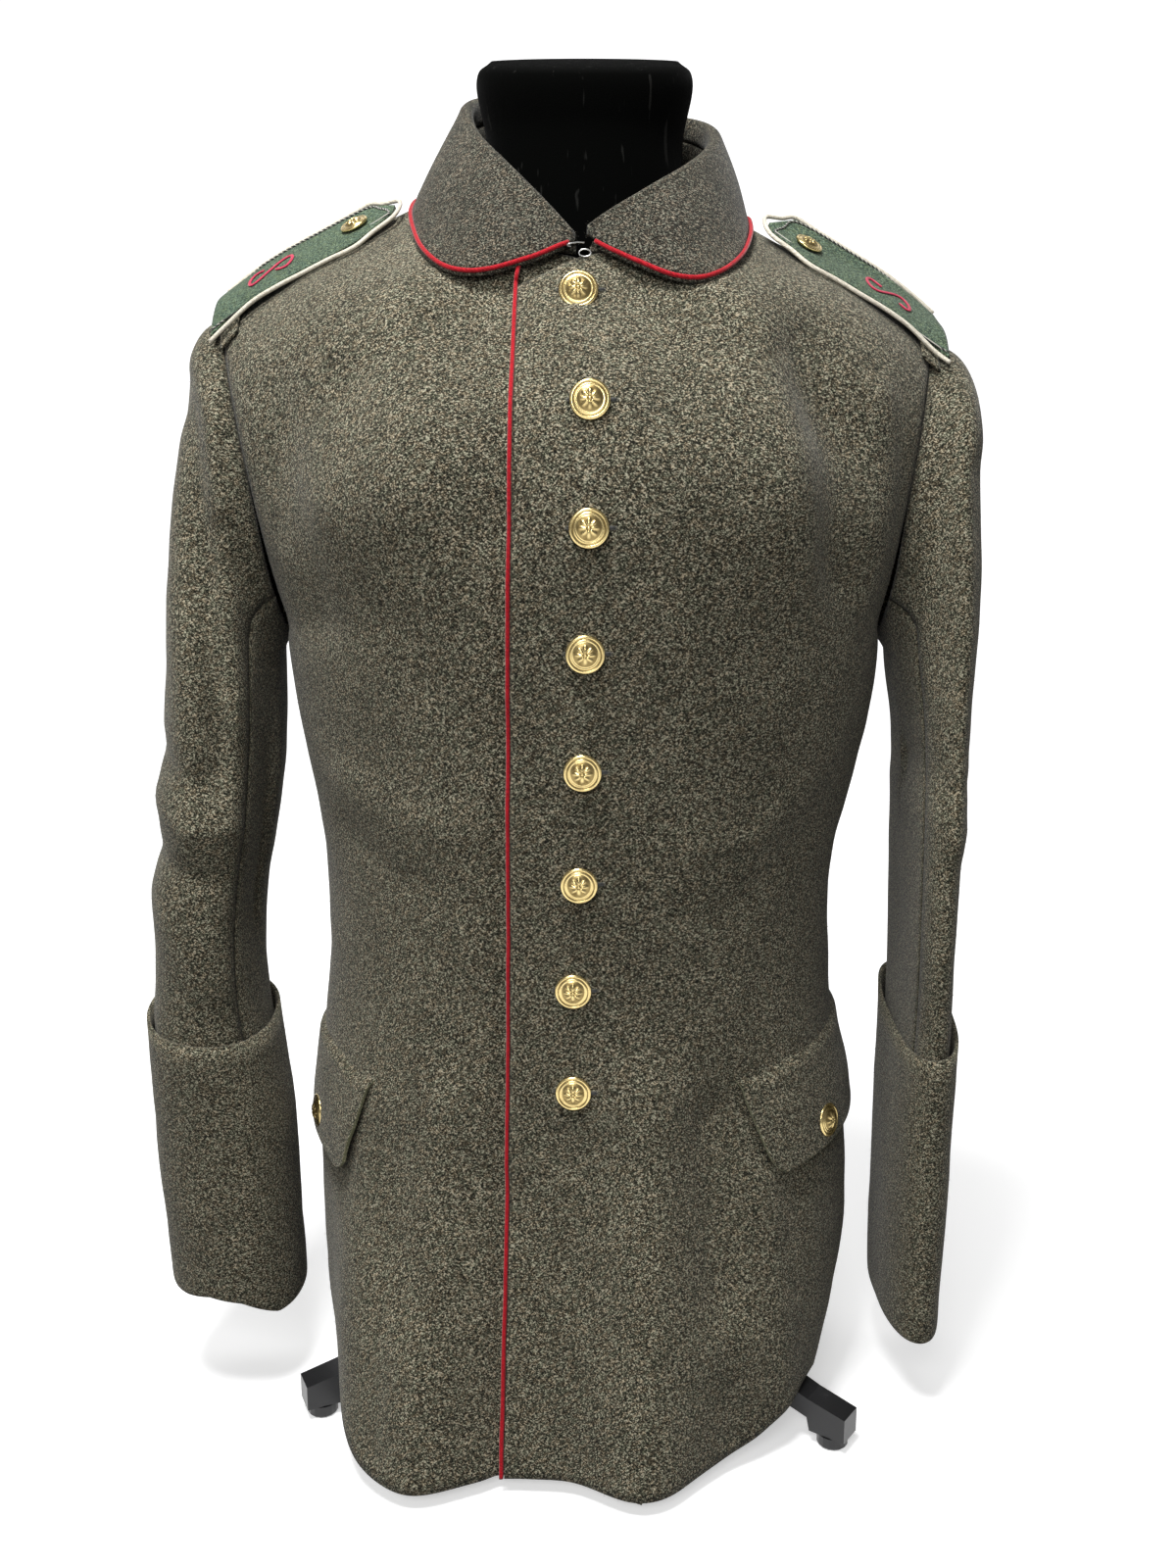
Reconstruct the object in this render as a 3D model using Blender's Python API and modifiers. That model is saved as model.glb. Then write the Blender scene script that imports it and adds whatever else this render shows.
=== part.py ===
"""A wool field tunic on a limbless dress form that stands on a low tripod.

Units are metres and +Z is up. The wearer faces -Y, so the wearer's left side is +X.
Shapes are worked out around the stand's pole, at x = y = 0; one empty then carries the
whole object so that the origin is under the middle of its box.
"""

import math
from collections import namedtuple

import bmesh
import bpy
import numpy as np
from mathutils import Matrix, Vector
from mathutils.bvhtree import BVHTree

# ---- cloth ------------------------------------------------------------------------------
BODY_CLOTH = 0.0022  # fulled wool, one layer
COLLAR_CLOTH = 0.0026
STRAP_CLOTH = 0.0024
SEAM_INSET = 0.0003  # each panel stops this short of its seam line
LAP_GAP = 0.0009  # between the upper front and the covered one
FLAP_LIFT = 0.0018
COLLAR_LIFT = 0.0020
STRAP_LIFT = 0.0015
STRAP_OUTER_LIFT = 0.0039  # at the outer end, which leaves room for its bridle

# ---- where the part stands --------------------------------------------------------------
BOX_MIDDLE_X = -0.0250  # middle of the object's box, measured from the pole
BOX_MIDDLE_Y = 0.0100

# ---- body of the tunic ------------------------------------------------------------------
HEM_Z = 0.010
ARMPIT_Z = 0.500
SIDE_Y = -0.015
FRONT_NECK_Z = 0.716
BACK_NECK_Z = 0.772
CENTRE_X = -0.003

# Half widths to the wearer's right and left, and depths to the front and back of the pole.
BodyRow = namedtuple("BodyRow", "z right left front back")
BODY = (
    BodyRow(0.010, 0.165, 0.153, 0.159, 0.122),
    BodyRow(0.066, 0.174, 0.169, 0.147, 0.119),
    BodyRow(0.125, 0.175, 0.176, 0.139, 0.113),
    BodyRow(0.180, 0.174, 0.174, 0.131, 0.105),
    BodyRow(0.236, 0.171, 0.166, 0.127, 0.096),
    BodyRow(0.290, 0.165, 0.160, 0.130, 0.088),
    BodyRow(0.345, 0.163, 0.157, 0.136, 0.083),
    BodyRow(0.395, 0.168, 0.164, 0.142, 0.085),
    BodyRow(0.445, 0.176, 0.179, 0.148, 0.092),
    BodyRow(0.500, 0.184, 0.184, 0.157, 0.100),
    BodyRow(0.560, 0.188, 0.188, 0.166, 0.106),
    BodyRow(0.610, 0.190, 0.190, 0.165, 0.106),
    BodyRow(0.655, 0.190, 0.190, 0.150, 0.098),
    BodyRow(0.700, 0.190, 0.190, 0.112, 0.084),
    BodyRow(0.772, 0.190, 0.190, 0.060, 0.048),
)

# Flutes of the skirt: side +1 is the wearer's left, place is the girth coordinate at the hem
# (0 at the front, 1 at the side, 2 at the back), reach how far the hem stands out.
Flute = namedtuple("Flute", "side place width reach top")
FLUTES = (
    Flute(-1, 0.46, 0.18, 0.042, 0.330),
    Flute(1, 0.13, 0.13, 0.026, 0.300),
    Flute(1, 0.60, 0.16, 0.012, 0.240),
    Flute(1, 1.30, 0.17, 0.014, 0.240),
    Flute(-1, 1.22, 0.16, 0.012, 0.220),
    Flute(1, 1.72, 0.14, 0.012, 0.300),
    Flute(-1, 1.68, 0.15, 0.013, 0.300),
)

# Where the hem rides up over the stand's legs.
HemLift = namedtuple("HemLift", "side place width height")
HEM_LIFTS = (
    HemLift(1, 0.64, 0.16, 0.030),
    HemLift(-1, 0.70, 0.16, 0.032),
    HemLift(1, 1.93, 0.14, 0.050),
)

# How far a front or a back swells between its centre and the armhole, by row.
YokeRow = namedtuple("YokeRow", "row front back")
YOKE = (
    YokeRow(0.80, 0.000, 0.000),
    YokeRow(1.00, 0.000, 0.000),
    YokeRow(1.25, 0.014, 0.016),
    YokeRow(1.50, 0.028, 0.032),
    YokeRow(1.75, 0.020, 0.022),
    YokeRow(2.00, 0.000, 0.000),
)

# Armholes: the shoulder tip, and how far the curve reaches to the front and the back.
Armhole = namedtuple("Armhole", "tip_x tip_z front back")
ARMHOLES = {
    -1: Armhole(0.2160, 0.690, 0.070, 0.052),
    1: Armhole(0.2030, 0.677, 0.070, 0.052),
}
ARMHOLE_Y = -0.018
ARMHOLE_HOLLOW = 0.006  # how far the armhole cuts in at its front
NECK_POINTS = {-1: Vector((-0.078, -0.010, 0.7660)), 1: Vector((0.079, -0.010, 0.7510))}

# ---- sleeves ----------------------------------------------------------------------------
# Each ring of a sleeve: its outer and inner points, its front and back, how far the outer
# side leads to the front, and its squareness (2 is an ellipse).
SleeveRow = namedtuple("SleeveRow", "out_x out_z in_x in_z front back lead square")
SLEEVES = {
    -1: (
        SleeveRow(0.2330, 0.678, 0.1905, 0.490, -0.085, 0.043, 0.000, 2.1),
        SleeveRow(0.2415, 0.616, 0.1915, 0.472, -0.087, 0.044, 0.000, 2.2),
        SleeveRow(0.2490, 0.546, 0.1915, 0.446, -0.087, 0.043, 0.000, 2.3),
        SleeveRow(0.2572, 0.474, 0.1930, 0.415, -0.086, 0.040, 0.000, 2.3),
        SleeveRow(0.2660, 0.408, 0.2000, 0.375, -0.084, 0.035, 0.000, 2.2),
        SleeveRow(0.2725, 0.345, 0.2090, 0.326, -0.081, 0.030, 0.000, 2.2),
        SleeveRow(0.2770, 0.285, 0.2100, 0.275, -0.078, 0.024, 0.000, 2.2),
        SleeveRow(0.2810, 0.225, 0.2010, 0.215, -0.074, 0.020, 0.000, 2.2),
        SleeveRow(0.2785, 0.146, 0.1965, 0.138, -0.071, 0.016, 0.000, 2.2),
        SleeveRow(0.2755, 0.081, 0.1945, 0.067, -0.069, 0.014, 0.000, 2.2),
    ),
    1: (
        SleeveRow(0.2275, 0.664, 0.1866, 0.490, -0.088, 0.048, 0.000, 2.1),
        SleeveRow(0.2325, 0.604, 0.1895, 0.472, -0.090, 0.052, 0.002, 2.2),
        SleeveRow(0.2355, 0.538, 0.1945, 0.446, -0.093, 0.053, 0.002, 2.3),
        SleeveRow(0.2315, 0.474, 0.1975, 0.415, -0.094, 0.052, 0.002, 2.3),
        SleeveRow(0.2290, 0.408, 0.1990, 0.375, -0.094, 0.049, 0.002, 2.3),
        SleeveRow(0.2280, 0.345, 0.2000, 0.326, -0.093, 0.046, 0.002, 2.3),
        SleeveRow(0.2290, 0.285, 0.2010, 0.275, -0.090, 0.042, 0.002, 2.3),
        SleeveRow(0.2300, 0.215, 0.1990, 0.211, -0.086, 0.038, 0.002, 2.3),
        SleeveRow(0.2295, 0.130, 0.1980, 0.128, -0.083, 0.034, 0.002, 2.3),
        SleeveRow(0.2290, 0.056, 0.1975, 0.058, -0.080, 0.031, 0.002, 2.3),
    ),
}
# Long folds of a sleeve: where round it they lie at the top and at the bottom (degrees from
# the outer side towards the front), the stretch they fill, their width and their height.
SleeveFold = namedtuple("SleeveFold", "side top_angle low_angle start end width height")
SLEEVE_FOLDS = (
    SleeveFold(-1, 118, 128, 0.06, 0.66, 16, 0.0060),
    SleeveFold(-1, 60, 84, 0.04, 0.40, 20, -0.0035),
    SleeveFold(-1, 22, 30, 0.10, 0.55, 16, 0.0025),
    SleeveFold(1, 46, 38, 0.03, 0.66, 13, 0.0045),
    SleeveFold(1, 16, 20, 0.05, 0.52, 12, -0.0030),
    SleeveFold(1, 118, 132, 0.25, 0.80, 15, 0.0030),
)
SLEEVE_FRONT_SEAM = 9  # columns round the sleeve, 15 degrees each
SLEEVE_BACK_SEAM = 19
SLEEVE_ROWS = 18

SCYE_GAP = 0.0022  # room under the arm between the sleeve's edge and the body's
CUFF_TOP = 0.735  # share of the sleeve's rows where the turned-back cuff ends
CUFF_STAND = 0.0014  # clear space between cuff and sleeve at the fold
CUFF_FLARE = 0.0016  # more than that at the cuff's free edge
CUFF_TILT = 0.15
CUFF_ROWS = 4

# ---- collar -----------------------------------------------------------------------------
# From the throat on the wearer's right round the back to the throat on the wearer's left:
# the roll line and the free edge of the fall.
CollarRow = namedtuple("CollarRow", "roll_x roll_y roll_z edge_x edge_y edge_z")
COLLAR = (
    CollarRow(-0.0065, -0.0945, 0.7270, -0.0090, -0.1015, 0.7215),
    CollarRow(-0.0200, -0.0900, 0.7420, -0.0400, -0.1120, 0.7105),
    CollarRow(-0.0370, -0.0770, 0.7600, -0.0660, -0.1105, 0.7040),
    CollarRow(-0.0530, -0.0590, 0.7770, -0.0860, -0.0930, 0.7100),
    CollarRow(-0.0665, -0.0340, 0.7930, -0.0985, -0.0580, 0.7370),
    CollarRow(-0.0725, -0.0040, 0.8120, -0.1020, -0.0180, 0.7560),
    CollarRow(-0.0660, 0.0320, 0.8250, -0.0905, 0.0340, 0.7640),
    CollarRow(-0.0380, 0.0560, 0.8300, -0.0500, 0.0740, 0.7600),
    CollarRow(0.0020, 0.0630, 0.8280, 0.0020, 0.0870, 0.7560),
    CollarRow(0.0410, 0.0560, 0.8210, 0.0540, 0.0740, 0.7520),
    CollarRow(0.0700, 0.0330, 0.8120, 0.0880, 0.0330, 0.7520),
    CollarRow(0.0760, -0.0020, 0.7980, 0.0940, -0.0180, 0.7450),
    CollarRow(0.0700, -0.0340, 0.7830, 0.0905, -0.0560, 0.7290),
    CollarRow(0.0570, -0.0590, 0.7700, 0.0800, -0.0900, 0.7080),
    CollarRow(0.0400, -0.0770, 0.7580, 0.0600, -0.1120, 0.7000),
    CollarRow(0.0220, -0.0890, 0.7460, 0.0340, -0.1160, 0.7070),
    CollarRow(0.0040, -0.0950, 0.7310, 0.0070, -0.1030, 0.7230),
)
NECK_AXIS = Vector((0.000, -0.008, 0.0))
ROLL_HALF = 0.0048  # half the width of the rolled fold
STAND_SHARE = 0.22  # share of the stand's height that the fall's cloth covers inside
COLLAR_BULGE = 0.0022

# ---- trimmings --------------------------------------------------------------------------
PIPING_RADIUS = 0.0013
EDGE_X_TOP = -0.0375  # the piped front edge at the collar and at the hem
EDGE_X_HEM = -0.0500
UNDERLAP_SHARE = 0.11  # how far the covered front runs on under the upper one
STEP_SHARE = 0.085  # over this share of a front the covered one comes up again

FRONT_BUTTON_RADIUS = 0.0105
SMALL_BUTTON_RADIUS = 0.0085
ButtonRow = namedtuple("ButtonRow", "x z")
FRONT_BUTTONS = (
    ButtonRow(-0.0050, 0.6945),
    ButtonRow(0.0010, 0.6360),
    ButtonRow(0.0005, 0.5720),
    ButtonRow(-0.0015, 0.5060),
    ButtonRow(-0.0030, 0.4400),
    ButtonRow(-0.0050, 0.3740),
    ButtonRow(-0.0085, 0.3085),
    ButtonRow(-0.0085, 0.2445),
)

# Hip pocket flaps, on the unrolled cloth: distance of the front top corner from the side
# line, its height, the flap's length and depth, and its slope up to the back.
Flap = namedtuple("Flap", "ahead top length depth slope")
FLAPS = {
    -1: Flap(0.096, 0.2400, 0.150, 0.066, 10.0),
    1: Flap(0.124, 0.2445, 0.150, 0.066, 10.0),
}
FLAP_CORNER = 0.010
FLAP_BUTTON_AHEAD = 0.36  # share of the length, from the front
FLAP_BUTTON_UP = 0.013  # from the free edge

# Shoulder straps: the pointed inner end, the outer end, and their tilt to the front.
Strap = namedtuple("Strap", "tip end tilt")
STRAPS = {
    -1: Strap(Vector((-0.1115, -0.0300, 0.7420)), Vector((-0.2150, -0.0330, 0.6890)), 36.0),
    1: Strap(Vector((0.1060, -0.0300, 0.7350)), Vector((0.2070, -0.0330, 0.6765)), 37.0),
}
STRAP_HALF = 0.0225
STRAP_POINT = 0.020  # length of the pointed end
STRAP_TIP_HALF = 0.0050
STRAP_DROP = 0.0060  # how far the outer end bends down
STRAP_BUTTON_IN = 0.024
STRAP_BACK_RISE = 0.0085  # the stiff strap leans forwards, with its back edge this much higher
BRIDLE_CLOTH = 0.0013
BRIDLE_ROOM = BRIDLE_CLOTH + 0.0013
BRIDLE_HALF = 0.0335  # it shows past both edges of the strap
LOOP_WIDTH = 0.014
LOOP_IN = 0.006  # from the strap's outer end
BUTTON_STEPS = 12
HOOK_AT = (-0.0045, -0.1028, 0.7190)

# ---- dress form and stand ---------------------------------------------------------------
FORM_BOTTOM_Z = 0.130
FORM_EASE = 0.0120  # room between the form and the cloth below the shoulders
FORM_SHOULDER_EASE = 0.0006
NeckRow = namedtuple("NeckRow", "z half_x half_y")
NECK_RINGS = (
    NeckRow(0.784, 0.0590, 0.0480),
    NeckRow(0.800, 0.0620, 0.0500),
    NeckRow(0.817, 0.0668, 0.0515),
    NeckRow(0.827, 0.0660, 0.0505),
    NeckRow(0.833, 0.0610, 0.0460),
)
NECK_TOP_TILT = 17.0
NECK_MIDDLE = (-0.002, -0.011)
POLE_RADIUS = 0.0125
HUB_RADIUS = 0.030
HUB_TOP_Z = 0.092
HUB_LOW_Z = 0.048
LEG_TOP_Z = 0.0760
LEG_HALF = 0.011
LEG_REACH = 0.190
LEG_TURN = 5.7  # the tripod's turn on the pole, in degrees
FOOT_Z = 0.008

# Where pieces end on the panel grids.
LOW_ROWS = 12  # rows of cloth from the hem to the armpit
TOP_ROWS = 12  # rows from the armpit to the shoulder; the neckline starts half way
COLUMNS = 12  # columns of a front or a back between its centre and its side
NECK_ROW = 1.5
CHEST_ROW = 1.45  # up to this row the chest follows the sections below it
SIDE_U = 1.1  # girth coordinate of the side seam
SHOULDER_ANGLE = 18.0
SHOULDER_RISE = 0.004

CLOTH, COLLAR_SLOT, RED, WHITE, STRAP_SLOT, BRASS, STEEL, VELVET, LINEN, BLACK = (
    "tunic_wool", "collar_wool", "red_piping", "white_piping", "strap_wool",
    "brass", "steel_wire", "black_velvet", "form_linen", "black_metal",
)
COLOURS = {
    CLOTH: (0.105, 0.095, 0.066), COLLAR_SLOT: (0.095, 0.089, 0.063), RED: (0.45, 0.010, 0.012),
    WHITE: (0.62, 0.58, 0.47), STRAP_SLOT: (0.085, 0.100, 0.070), BRASS: (0.70, 0.50, 0.20),
    STEEL: (0.55, 0.55, 0.55), VELVET: (0.012, 0.012, 0.014), LINEN: (0.45, 0.41, 0.34),
    BLACK: (0.015, 0.015, 0.016),
}


# ---- small tools ------------------------------------------------------------------------
def curve(keys, values, at):
    """A smooth curve through values (numbers or points) that lie at growing keys."""
    keys = np.asarray(keys, float)
    values = np.asarray(values, float)
    i = int(np.clip(np.searchsorted(keys, at) - 1, 0, len(keys) - 2))
    slopes = np.gradient(values, keys, axis=0)
    step = keys[i + 1] - keys[i]
    f = float(np.clip((at - keys[i]) / step, 0, 1))
    first = 2 * f**3 - 3 * f**2 + 1
    lean = step * ((f**3 - 2 * f**2 + f) * slopes[i] + (f**3 - f**2) * slopes[i + 1])
    return first * values[i] + (1 - first) * values[i + 1] + lean


def column(rows, name, at):
    return float(curve([row[0] for row in rows], [getattr(row, name) for row in rows], at))


def ease(f):
    f = min(max(f, 0.0), 1.0)
    return f * f * (3 - 2 * f)


def mix(a, b, f):
    return a + (b - a) * f


def bell(distance, width):
    return math.exp(-((distance / width) ** 2))


def unit(vector):
    return vector / max(np.linalg.norm(vector), 1e-12)


# ---- the body's surface -----------------------------------------------------------------
def side_column(side):
    return "right" if side < 0 else "left"


def flute_offset(side, u, z):
    """How far the skirt's folds carry the cloth outward at a girth coordinate and height."""
    total = 0.0
    for flute in FLUTES:
        apart = abs(side * u - flute.side * flute.place)
        apart = min(apart, 4 - apart)
        fade = max(0.0, (flute.top - z) / (flute.top - HEM_Z))
        total += flute.reach * bell(apart, flute.width) * fade**1.3
    return total


def hem_z(side, u):
    return HEM_Z + sum(
        lift.height * bell(abs(side * u - lift.side * lift.place), lift.width)
        for lift in HEM_LIFTS
    )


def section(side, u, z, fluted):
    """The cloth's outer face at girth coordinate u (0 front, 1 side, 2 back) below the arms."""
    turn = math.radians(90 * u)
    half = column(BODY, side_column(side), z)
    depth = column(BODY, "front" if u <= 1 else "back", z)
    depth = depth + SIDE_Y if u <= 1 else depth - SIDE_Y
    x, y = side * half * math.sin(turn), -depth * math.cos(turn)
    out = unit(np.array((x / half**2, y / depth**2)))
    more = flute_offset(side, u, z) if fluted else 0.0
    return np.array((CENTRE_X + x + more * out[0], SIDE_Y + y + more * out[1], z))


def armhole(side, front, row):
    """A point on the armhole for a row between 1 (under the arm) and 2 (shoulder tip)."""
    hole = ARMHOLES[side]
    low = section(side, SIDE_U, ARMPIT_Z, False)
    tip = np.array((side * hole.tip_x, ARMHOLE_Y, hole.tip_z))
    turn = math.radians(-90 + 180 * (row - 1))
    point = mix(low, tip, (1 + math.sin(turn)) / 2)
    point[0] -= side * ARMHOLE_HOLLOW * math.cos(turn) * (1.0 if front else 0.5)
    point[1] += (-hole.front if front else hole.back) * math.cos(turn)
    return point


def centre_line(side, front, row):
    """The front edge's or back's middle line, and above NECK_ROW the neckline."""
    neck_z = FRONT_NECK_Z if front else BACK_NECK_Z
    sign, name = (-1, "front") if front else (1, "back")
    z = mix(ARMPIT_Z, neck_z, min((row - 1) / (NECK_ROW - 1), 1))
    point = np.array((CENTRE_X, sign * column(BODY, name, z), z))
    if row > NECK_ROW:
        turn = math.radians(90 * (row - NECK_ROW) / (2 - NECK_ROW))
        neck = np.array(NECK_POINTS[side])
        share = 1 - math.cos(turn)
        point = np.array((
            mix(point[0], neck[0], math.sin(turn)),
            mix(point[1], neck[1], share),
            mix(point[2], neck[2], share),
        ))
    return point


def chest_point(side, front, share, start, end):
    """A point between the centre and the armhole on the sections carried on upward."""
    def at(part):
        z = mix(start[2], end[2], part)
        depth = column(BODY, "front" if end[1] < SIDE_Y else "back", end[2])
        cosine = (SIDE_Y - end[1]) / (depth + (SIDE_Y if end[1] < SIDE_Y else -SIDE_Y))
        stop = math.degrees(math.acos(min(max(cosine, -1), 1))) / 90
        return section(side, mix(0 if front else 2, stop, part), z, False)
    return at(share) + (end - at(1)) * share**2


def body(side, front, share, row, fluted=True):
    """A point of the body; share runs from the centre (0) to the side seam or armhole (1)."""
    if share < 0:
        side, share = -side, -share
    u = share * SIDE_U if front else 2 - share * (2 - SIDE_U)
    if row <= 1:
        low = hem_z(side, u) if fluted else HEM_Z
        return section(side, u, mix(low, ARMPIT_Z, row), fluted)
    full = 90 * SIDE_U if front else 180 - 90 * SIDE_U
    angle = math.radians(mix(full, SHOULDER_ANGLE, ease(row - 1)))
    start, end = centre_line(side, front, row), armhole(side, front, row)
    across = math.sin(share * angle) / math.sin(angle)
    deep = (1 - math.cos(share * angle)) / (1 - math.cos(angle))
    point = np.array((
        mix(start[0], end[0], across), mix(start[1], end[1], deep), mix(start[2], end[2], share)
    ))
    wave = math.sin(math.pi * share)
    point[1] += wave * column(YOKE, "front" if front else "back", row) * (-1 if front else 1)
    point[2] += wave * SHOULDER_RISE * ease((row - NECK_ROW) / (2 - NECK_ROW))
    if row < CHEST_ROW:
        chest = chest_point(side, front, share, start, end)
        point = mix(chest, point, ease((row - 1) / (CHEST_ROW - 1)))
    return point


def rows():
    low = [i / LOW_ROWS for i in range(LOW_ROWS)]
    return low + [1 + i / TOP_ROWS for i in range(TOP_ROWS + 1)]


def edge_share(row, extra=0.0):
    """The share of the wearer's right half that the piped front edge covers."""
    z = body(-1, True, 0.1, row)[2]
    x = mix(EDGE_X_HEM, EDGE_X_TOP, z / FRONT_NECK_Z) - extra
    low, high = 0.0, 0.6
    for _ in range(24):
        half = (low + high) / 2
        low, high = (half, high) if body(-1, True, half, row)[0] > x else (low, half)
    return low


# ---- sheets of cloth --------------------------------------------------------------------
class Sheet:
    """One layer of cloth: points of its face side, quads between them, and its wall."""

    def __init__(self, name, grid, looks, wall, slot, around=False):
        """grid holds rows of points (None where there is no cloth); the first quad's face
        side looks towards the point looks; around joins each row's end to its start."""
        self.name, self.wall, self.slot = name, wall, slot
        numbers, self.points, self.faces = {}, [], []
        for i, row in enumerate(grid):
            for j, point in enumerate(row):
                if point is not None:
                    numbers[i, j] = len(self.points)
                    self.points.append(np.array(point, float))
        for i in range(len(grid) - 1):
            wide = len(grid[i])
            for j in range(wide if around else wide - 1):
                k = (j + 1) % wide
                corners = [(i, j), (i, k), (i + 1, k), (i + 1, j)]
                if all(corner in numbers for corner in corners):
                    self.faces.append([numbers[corner] for corner in corners])
        self.points = np.array(self.points)
        a, b, c, d = self.points[self.faces[0]]
        if np.cross(c - a, d - b) @ (np.array(looks) - (a + b + c + d) / 4) < 0:
            self.faces = [face[::-1] for face in self.faces]
        self.own_normals()

    def face_normals(self):
        corners = self.points[np.array(self.faces)]
        return np.cross(corners[:, 2] - corners[:, 0], corners[:, 3] - corners[:, 1])

    def own_normals(self):
        self.normals = np.zeros_like(self.points)
        for face, normal in zip(self.faces, self.face_normals()):
            self.normals[face] += normal
        self.normals /= np.linalg.norm(self.normals, axis=1)[:, None]

    def borders(self):
        sides = {(f[i], f[(i + 1) % 4]) for f in self.faces for i in range(4)}
        return [(a, b) for a, b in sides if (b, a) not in sides]

    def inset(self):
        """Draws the border in from the seam lines."""
        moves = np.zeros_like(self.points)
        for a, b in self.borders():
            along = unit(self.points[b] - self.points[a])
            for end in (a, b):
                moves[end] += unit(np.cross(self.normals[end], along)) * SEAM_INSET
        for i in np.flatnonzero(np.linalg.norm(moves, axis=1) > 0):
            self.points[i] += moves[i] * min(1.0, SEAM_INSET / np.linalg.norm(moves[i]) * 1.2)

    def body_mesh(self):
        """Points and faces of the closed wall."""
        flat = self.face_normals()
        flat /= np.linalg.norm(flat, axis=1)[:, None]
        lean = np.ones(len(self.points))
        for face, normal in zip(self.faces, flat):
            lean[face] = np.minimum(lean[face], self.normals[face] @ normal)
        deep = self.wall / np.clip(lean, 0.8, 1.0)
        count = len(self.points)
        inner = self.points - self.normals * deep[:, None]
        faces = [list(face) for face in self.faces]
        faces += [[i + count for i in face[::-1]] for face in self.faces]
        faces += [[b, a, a + count, b + count] for a, b in self.borders()]
        return np.vstack([self.points, inner]), faces

    def tree(self):
        return BVHTree.FromPolygons([Vector(p) for p in self.points], self.faces)


def meet(sheets):
    """Gives sheets that share a seam line one normal there, so that their walls mitre."""
    shared = {}
    for sheet in sheets:
        for i, point in enumerate(sheet.points):
            shared.setdefault(tuple(np.round(point, 6)), []).append((sheet, i))
    for users in shared.values():
        if len(users) > 1:
            own = [sheet.normals[i].copy() for sheet, i in users]
            for (sheet, i), normal in zip(users, own):
                sheet.normals[i] = unit(sum(other for other in own if other @ normal > 0.15))
    for sheet in sheets:
        sheet.inset()


# ---- objects ----------------------------------------------------------------------------
def clear_scene():
    for obj in list(bpy.data.objects):
        bpy.data.objects.remove(obj)


def collection(name):
    made = bpy.data.collections.new(name)
    bpy.context.scene.collection.children.link(made)
    return made


def material(slot):
    made = bpy.data.materials.get(slot)
    if made is None:
        made = bpy.data.materials.new(slot)
        made.use_nodes = True
        shader = made.node_tree.nodes["Principled BSDF"]
        shader.inputs["Base Color"].default_value = (*COLOURS[slot], 1)
        shader.inputs["Metallic"].default_value = 1.0 if slot in (BRASS, STEEL) else 0.0
        shader.inputs["Roughness"].default_value = 0.35 if slot in (BRASS, STEEL) else 0.85
    return made


def add(name, data, slot, group, carrier):
    obj = bpy.data.objects.new(name, data)
    obj.data.materials.append(material(slot))
    group.objects.link(obj)
    obj.parent = carrier
    return obj


def mesh_of(name, points, faces):
    """A closed mesh that faces out."""
    data = bpy.data.meshes.new(name)
    data.from_pydata([tuple(p) for p in points], [], [list(f) for f in faces])
    work = bmesh.new()
    work.from_mesh(data)
    bmesh.ops.recalc_face_normals(work, faces=work.faces)
    work.to_mesh(data)
    work.free()
    return data


def cord_of(name, points, radius):
    """A round cord along points."""
    data = bpy.data.curves.new(name, "CURVE")
    data.dimensions = "3D"
    data.bevel_depth = radius
    data.bevel_resolution = 1
    data.use_fill_caps = True
    line = data.splines.new("POLY")
    line.points.add(len(points) - 1)
    for knot, point in zip(line.points, points):
        knot.co = (*point, 1)
    return data


def turned(name, profile, slot, group, carrier, place, steps):
    """A turned piece: its profile (radius, height) spun round the Z axis of place."""
    data = bpy.data.meshes.new(name)
    spine = [(i, i + 1) for i in range(len(profile) - 1)]
    data.from_pydata([(r, 0, z) for r, z in profile], spine, [])
    obj = add(name, data, slot, group, carrier)
    obj.matrix_local = place
    spin = obj.modifiers.new("Spin", "SCREW")
    spin.steps = spin.render_steps = steps
    spin.use_merge_vertices = True
    spin.merge_threshold = 1e-6
    spin.use_normal_flip = True
    return obj


def standing_on(point, normal, lift):
    """A matrix whose Z axis is the normal, at a point lifted off the cloth."""
    turn = Vector(normal).normalized().to_track_quat("Z", "Y").to_matrix().to_4x4()
    return Matrix.Translation(Vector(point) + Vector(normal).normalized() * lift) @ turn


def seat(trees, point, normal, radius):
    """How far a disc has to be lifted so that its back clears the cloth by half a millimetre."""
    normal = Vector(normal).normalized()
    turn = normal.to_track_quat("Z", "Y")
    lift = 0.0
    for i in range(12):
        for reach in (radius, radius * 0.6):
            spoke = turn @ Vector((math.cos(i / 2) * reach, math.sin(i / 2) * reach, 0))
            start = Vector(point) + spoke + normal * 0.02
            for tree in trees:
                hit = tree.ray_cast(start, -normal, 0.03)[0]
                if hit is not None:
                    lift = max(lift, (hit - Vector(point)).dot(normal))
    return lift + 0.0005


# ---- body panels ------------------------------------------------------------------------
def upper_front_grid():
    """The wearer's left front, out to the piped edge on the wearer's right half."""
    grid = []
    for row in rows():
        if row <= NECK_ROW + 1e-6:
            edge = edge_share(row)
            past = [body(1, True, -edge * f, row) for f in (1.0, 0.5)]
        else:
            past = [None, None]
        shares = [mix(UNDERLAP_SHARE * j / 2 if j < 3 else
                      mix(UNDERLAP_SHARE, 1, (j - 2) / (COLUMNS - 2)), j / COLUMNS,
                      ease((row - NECK_ROW) / (2 - NECK_ROW))) for j in range(COLUMNS + 1)]
        grid.append(past + [body(1, True, share, row) for share in shares])
    return grid


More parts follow.
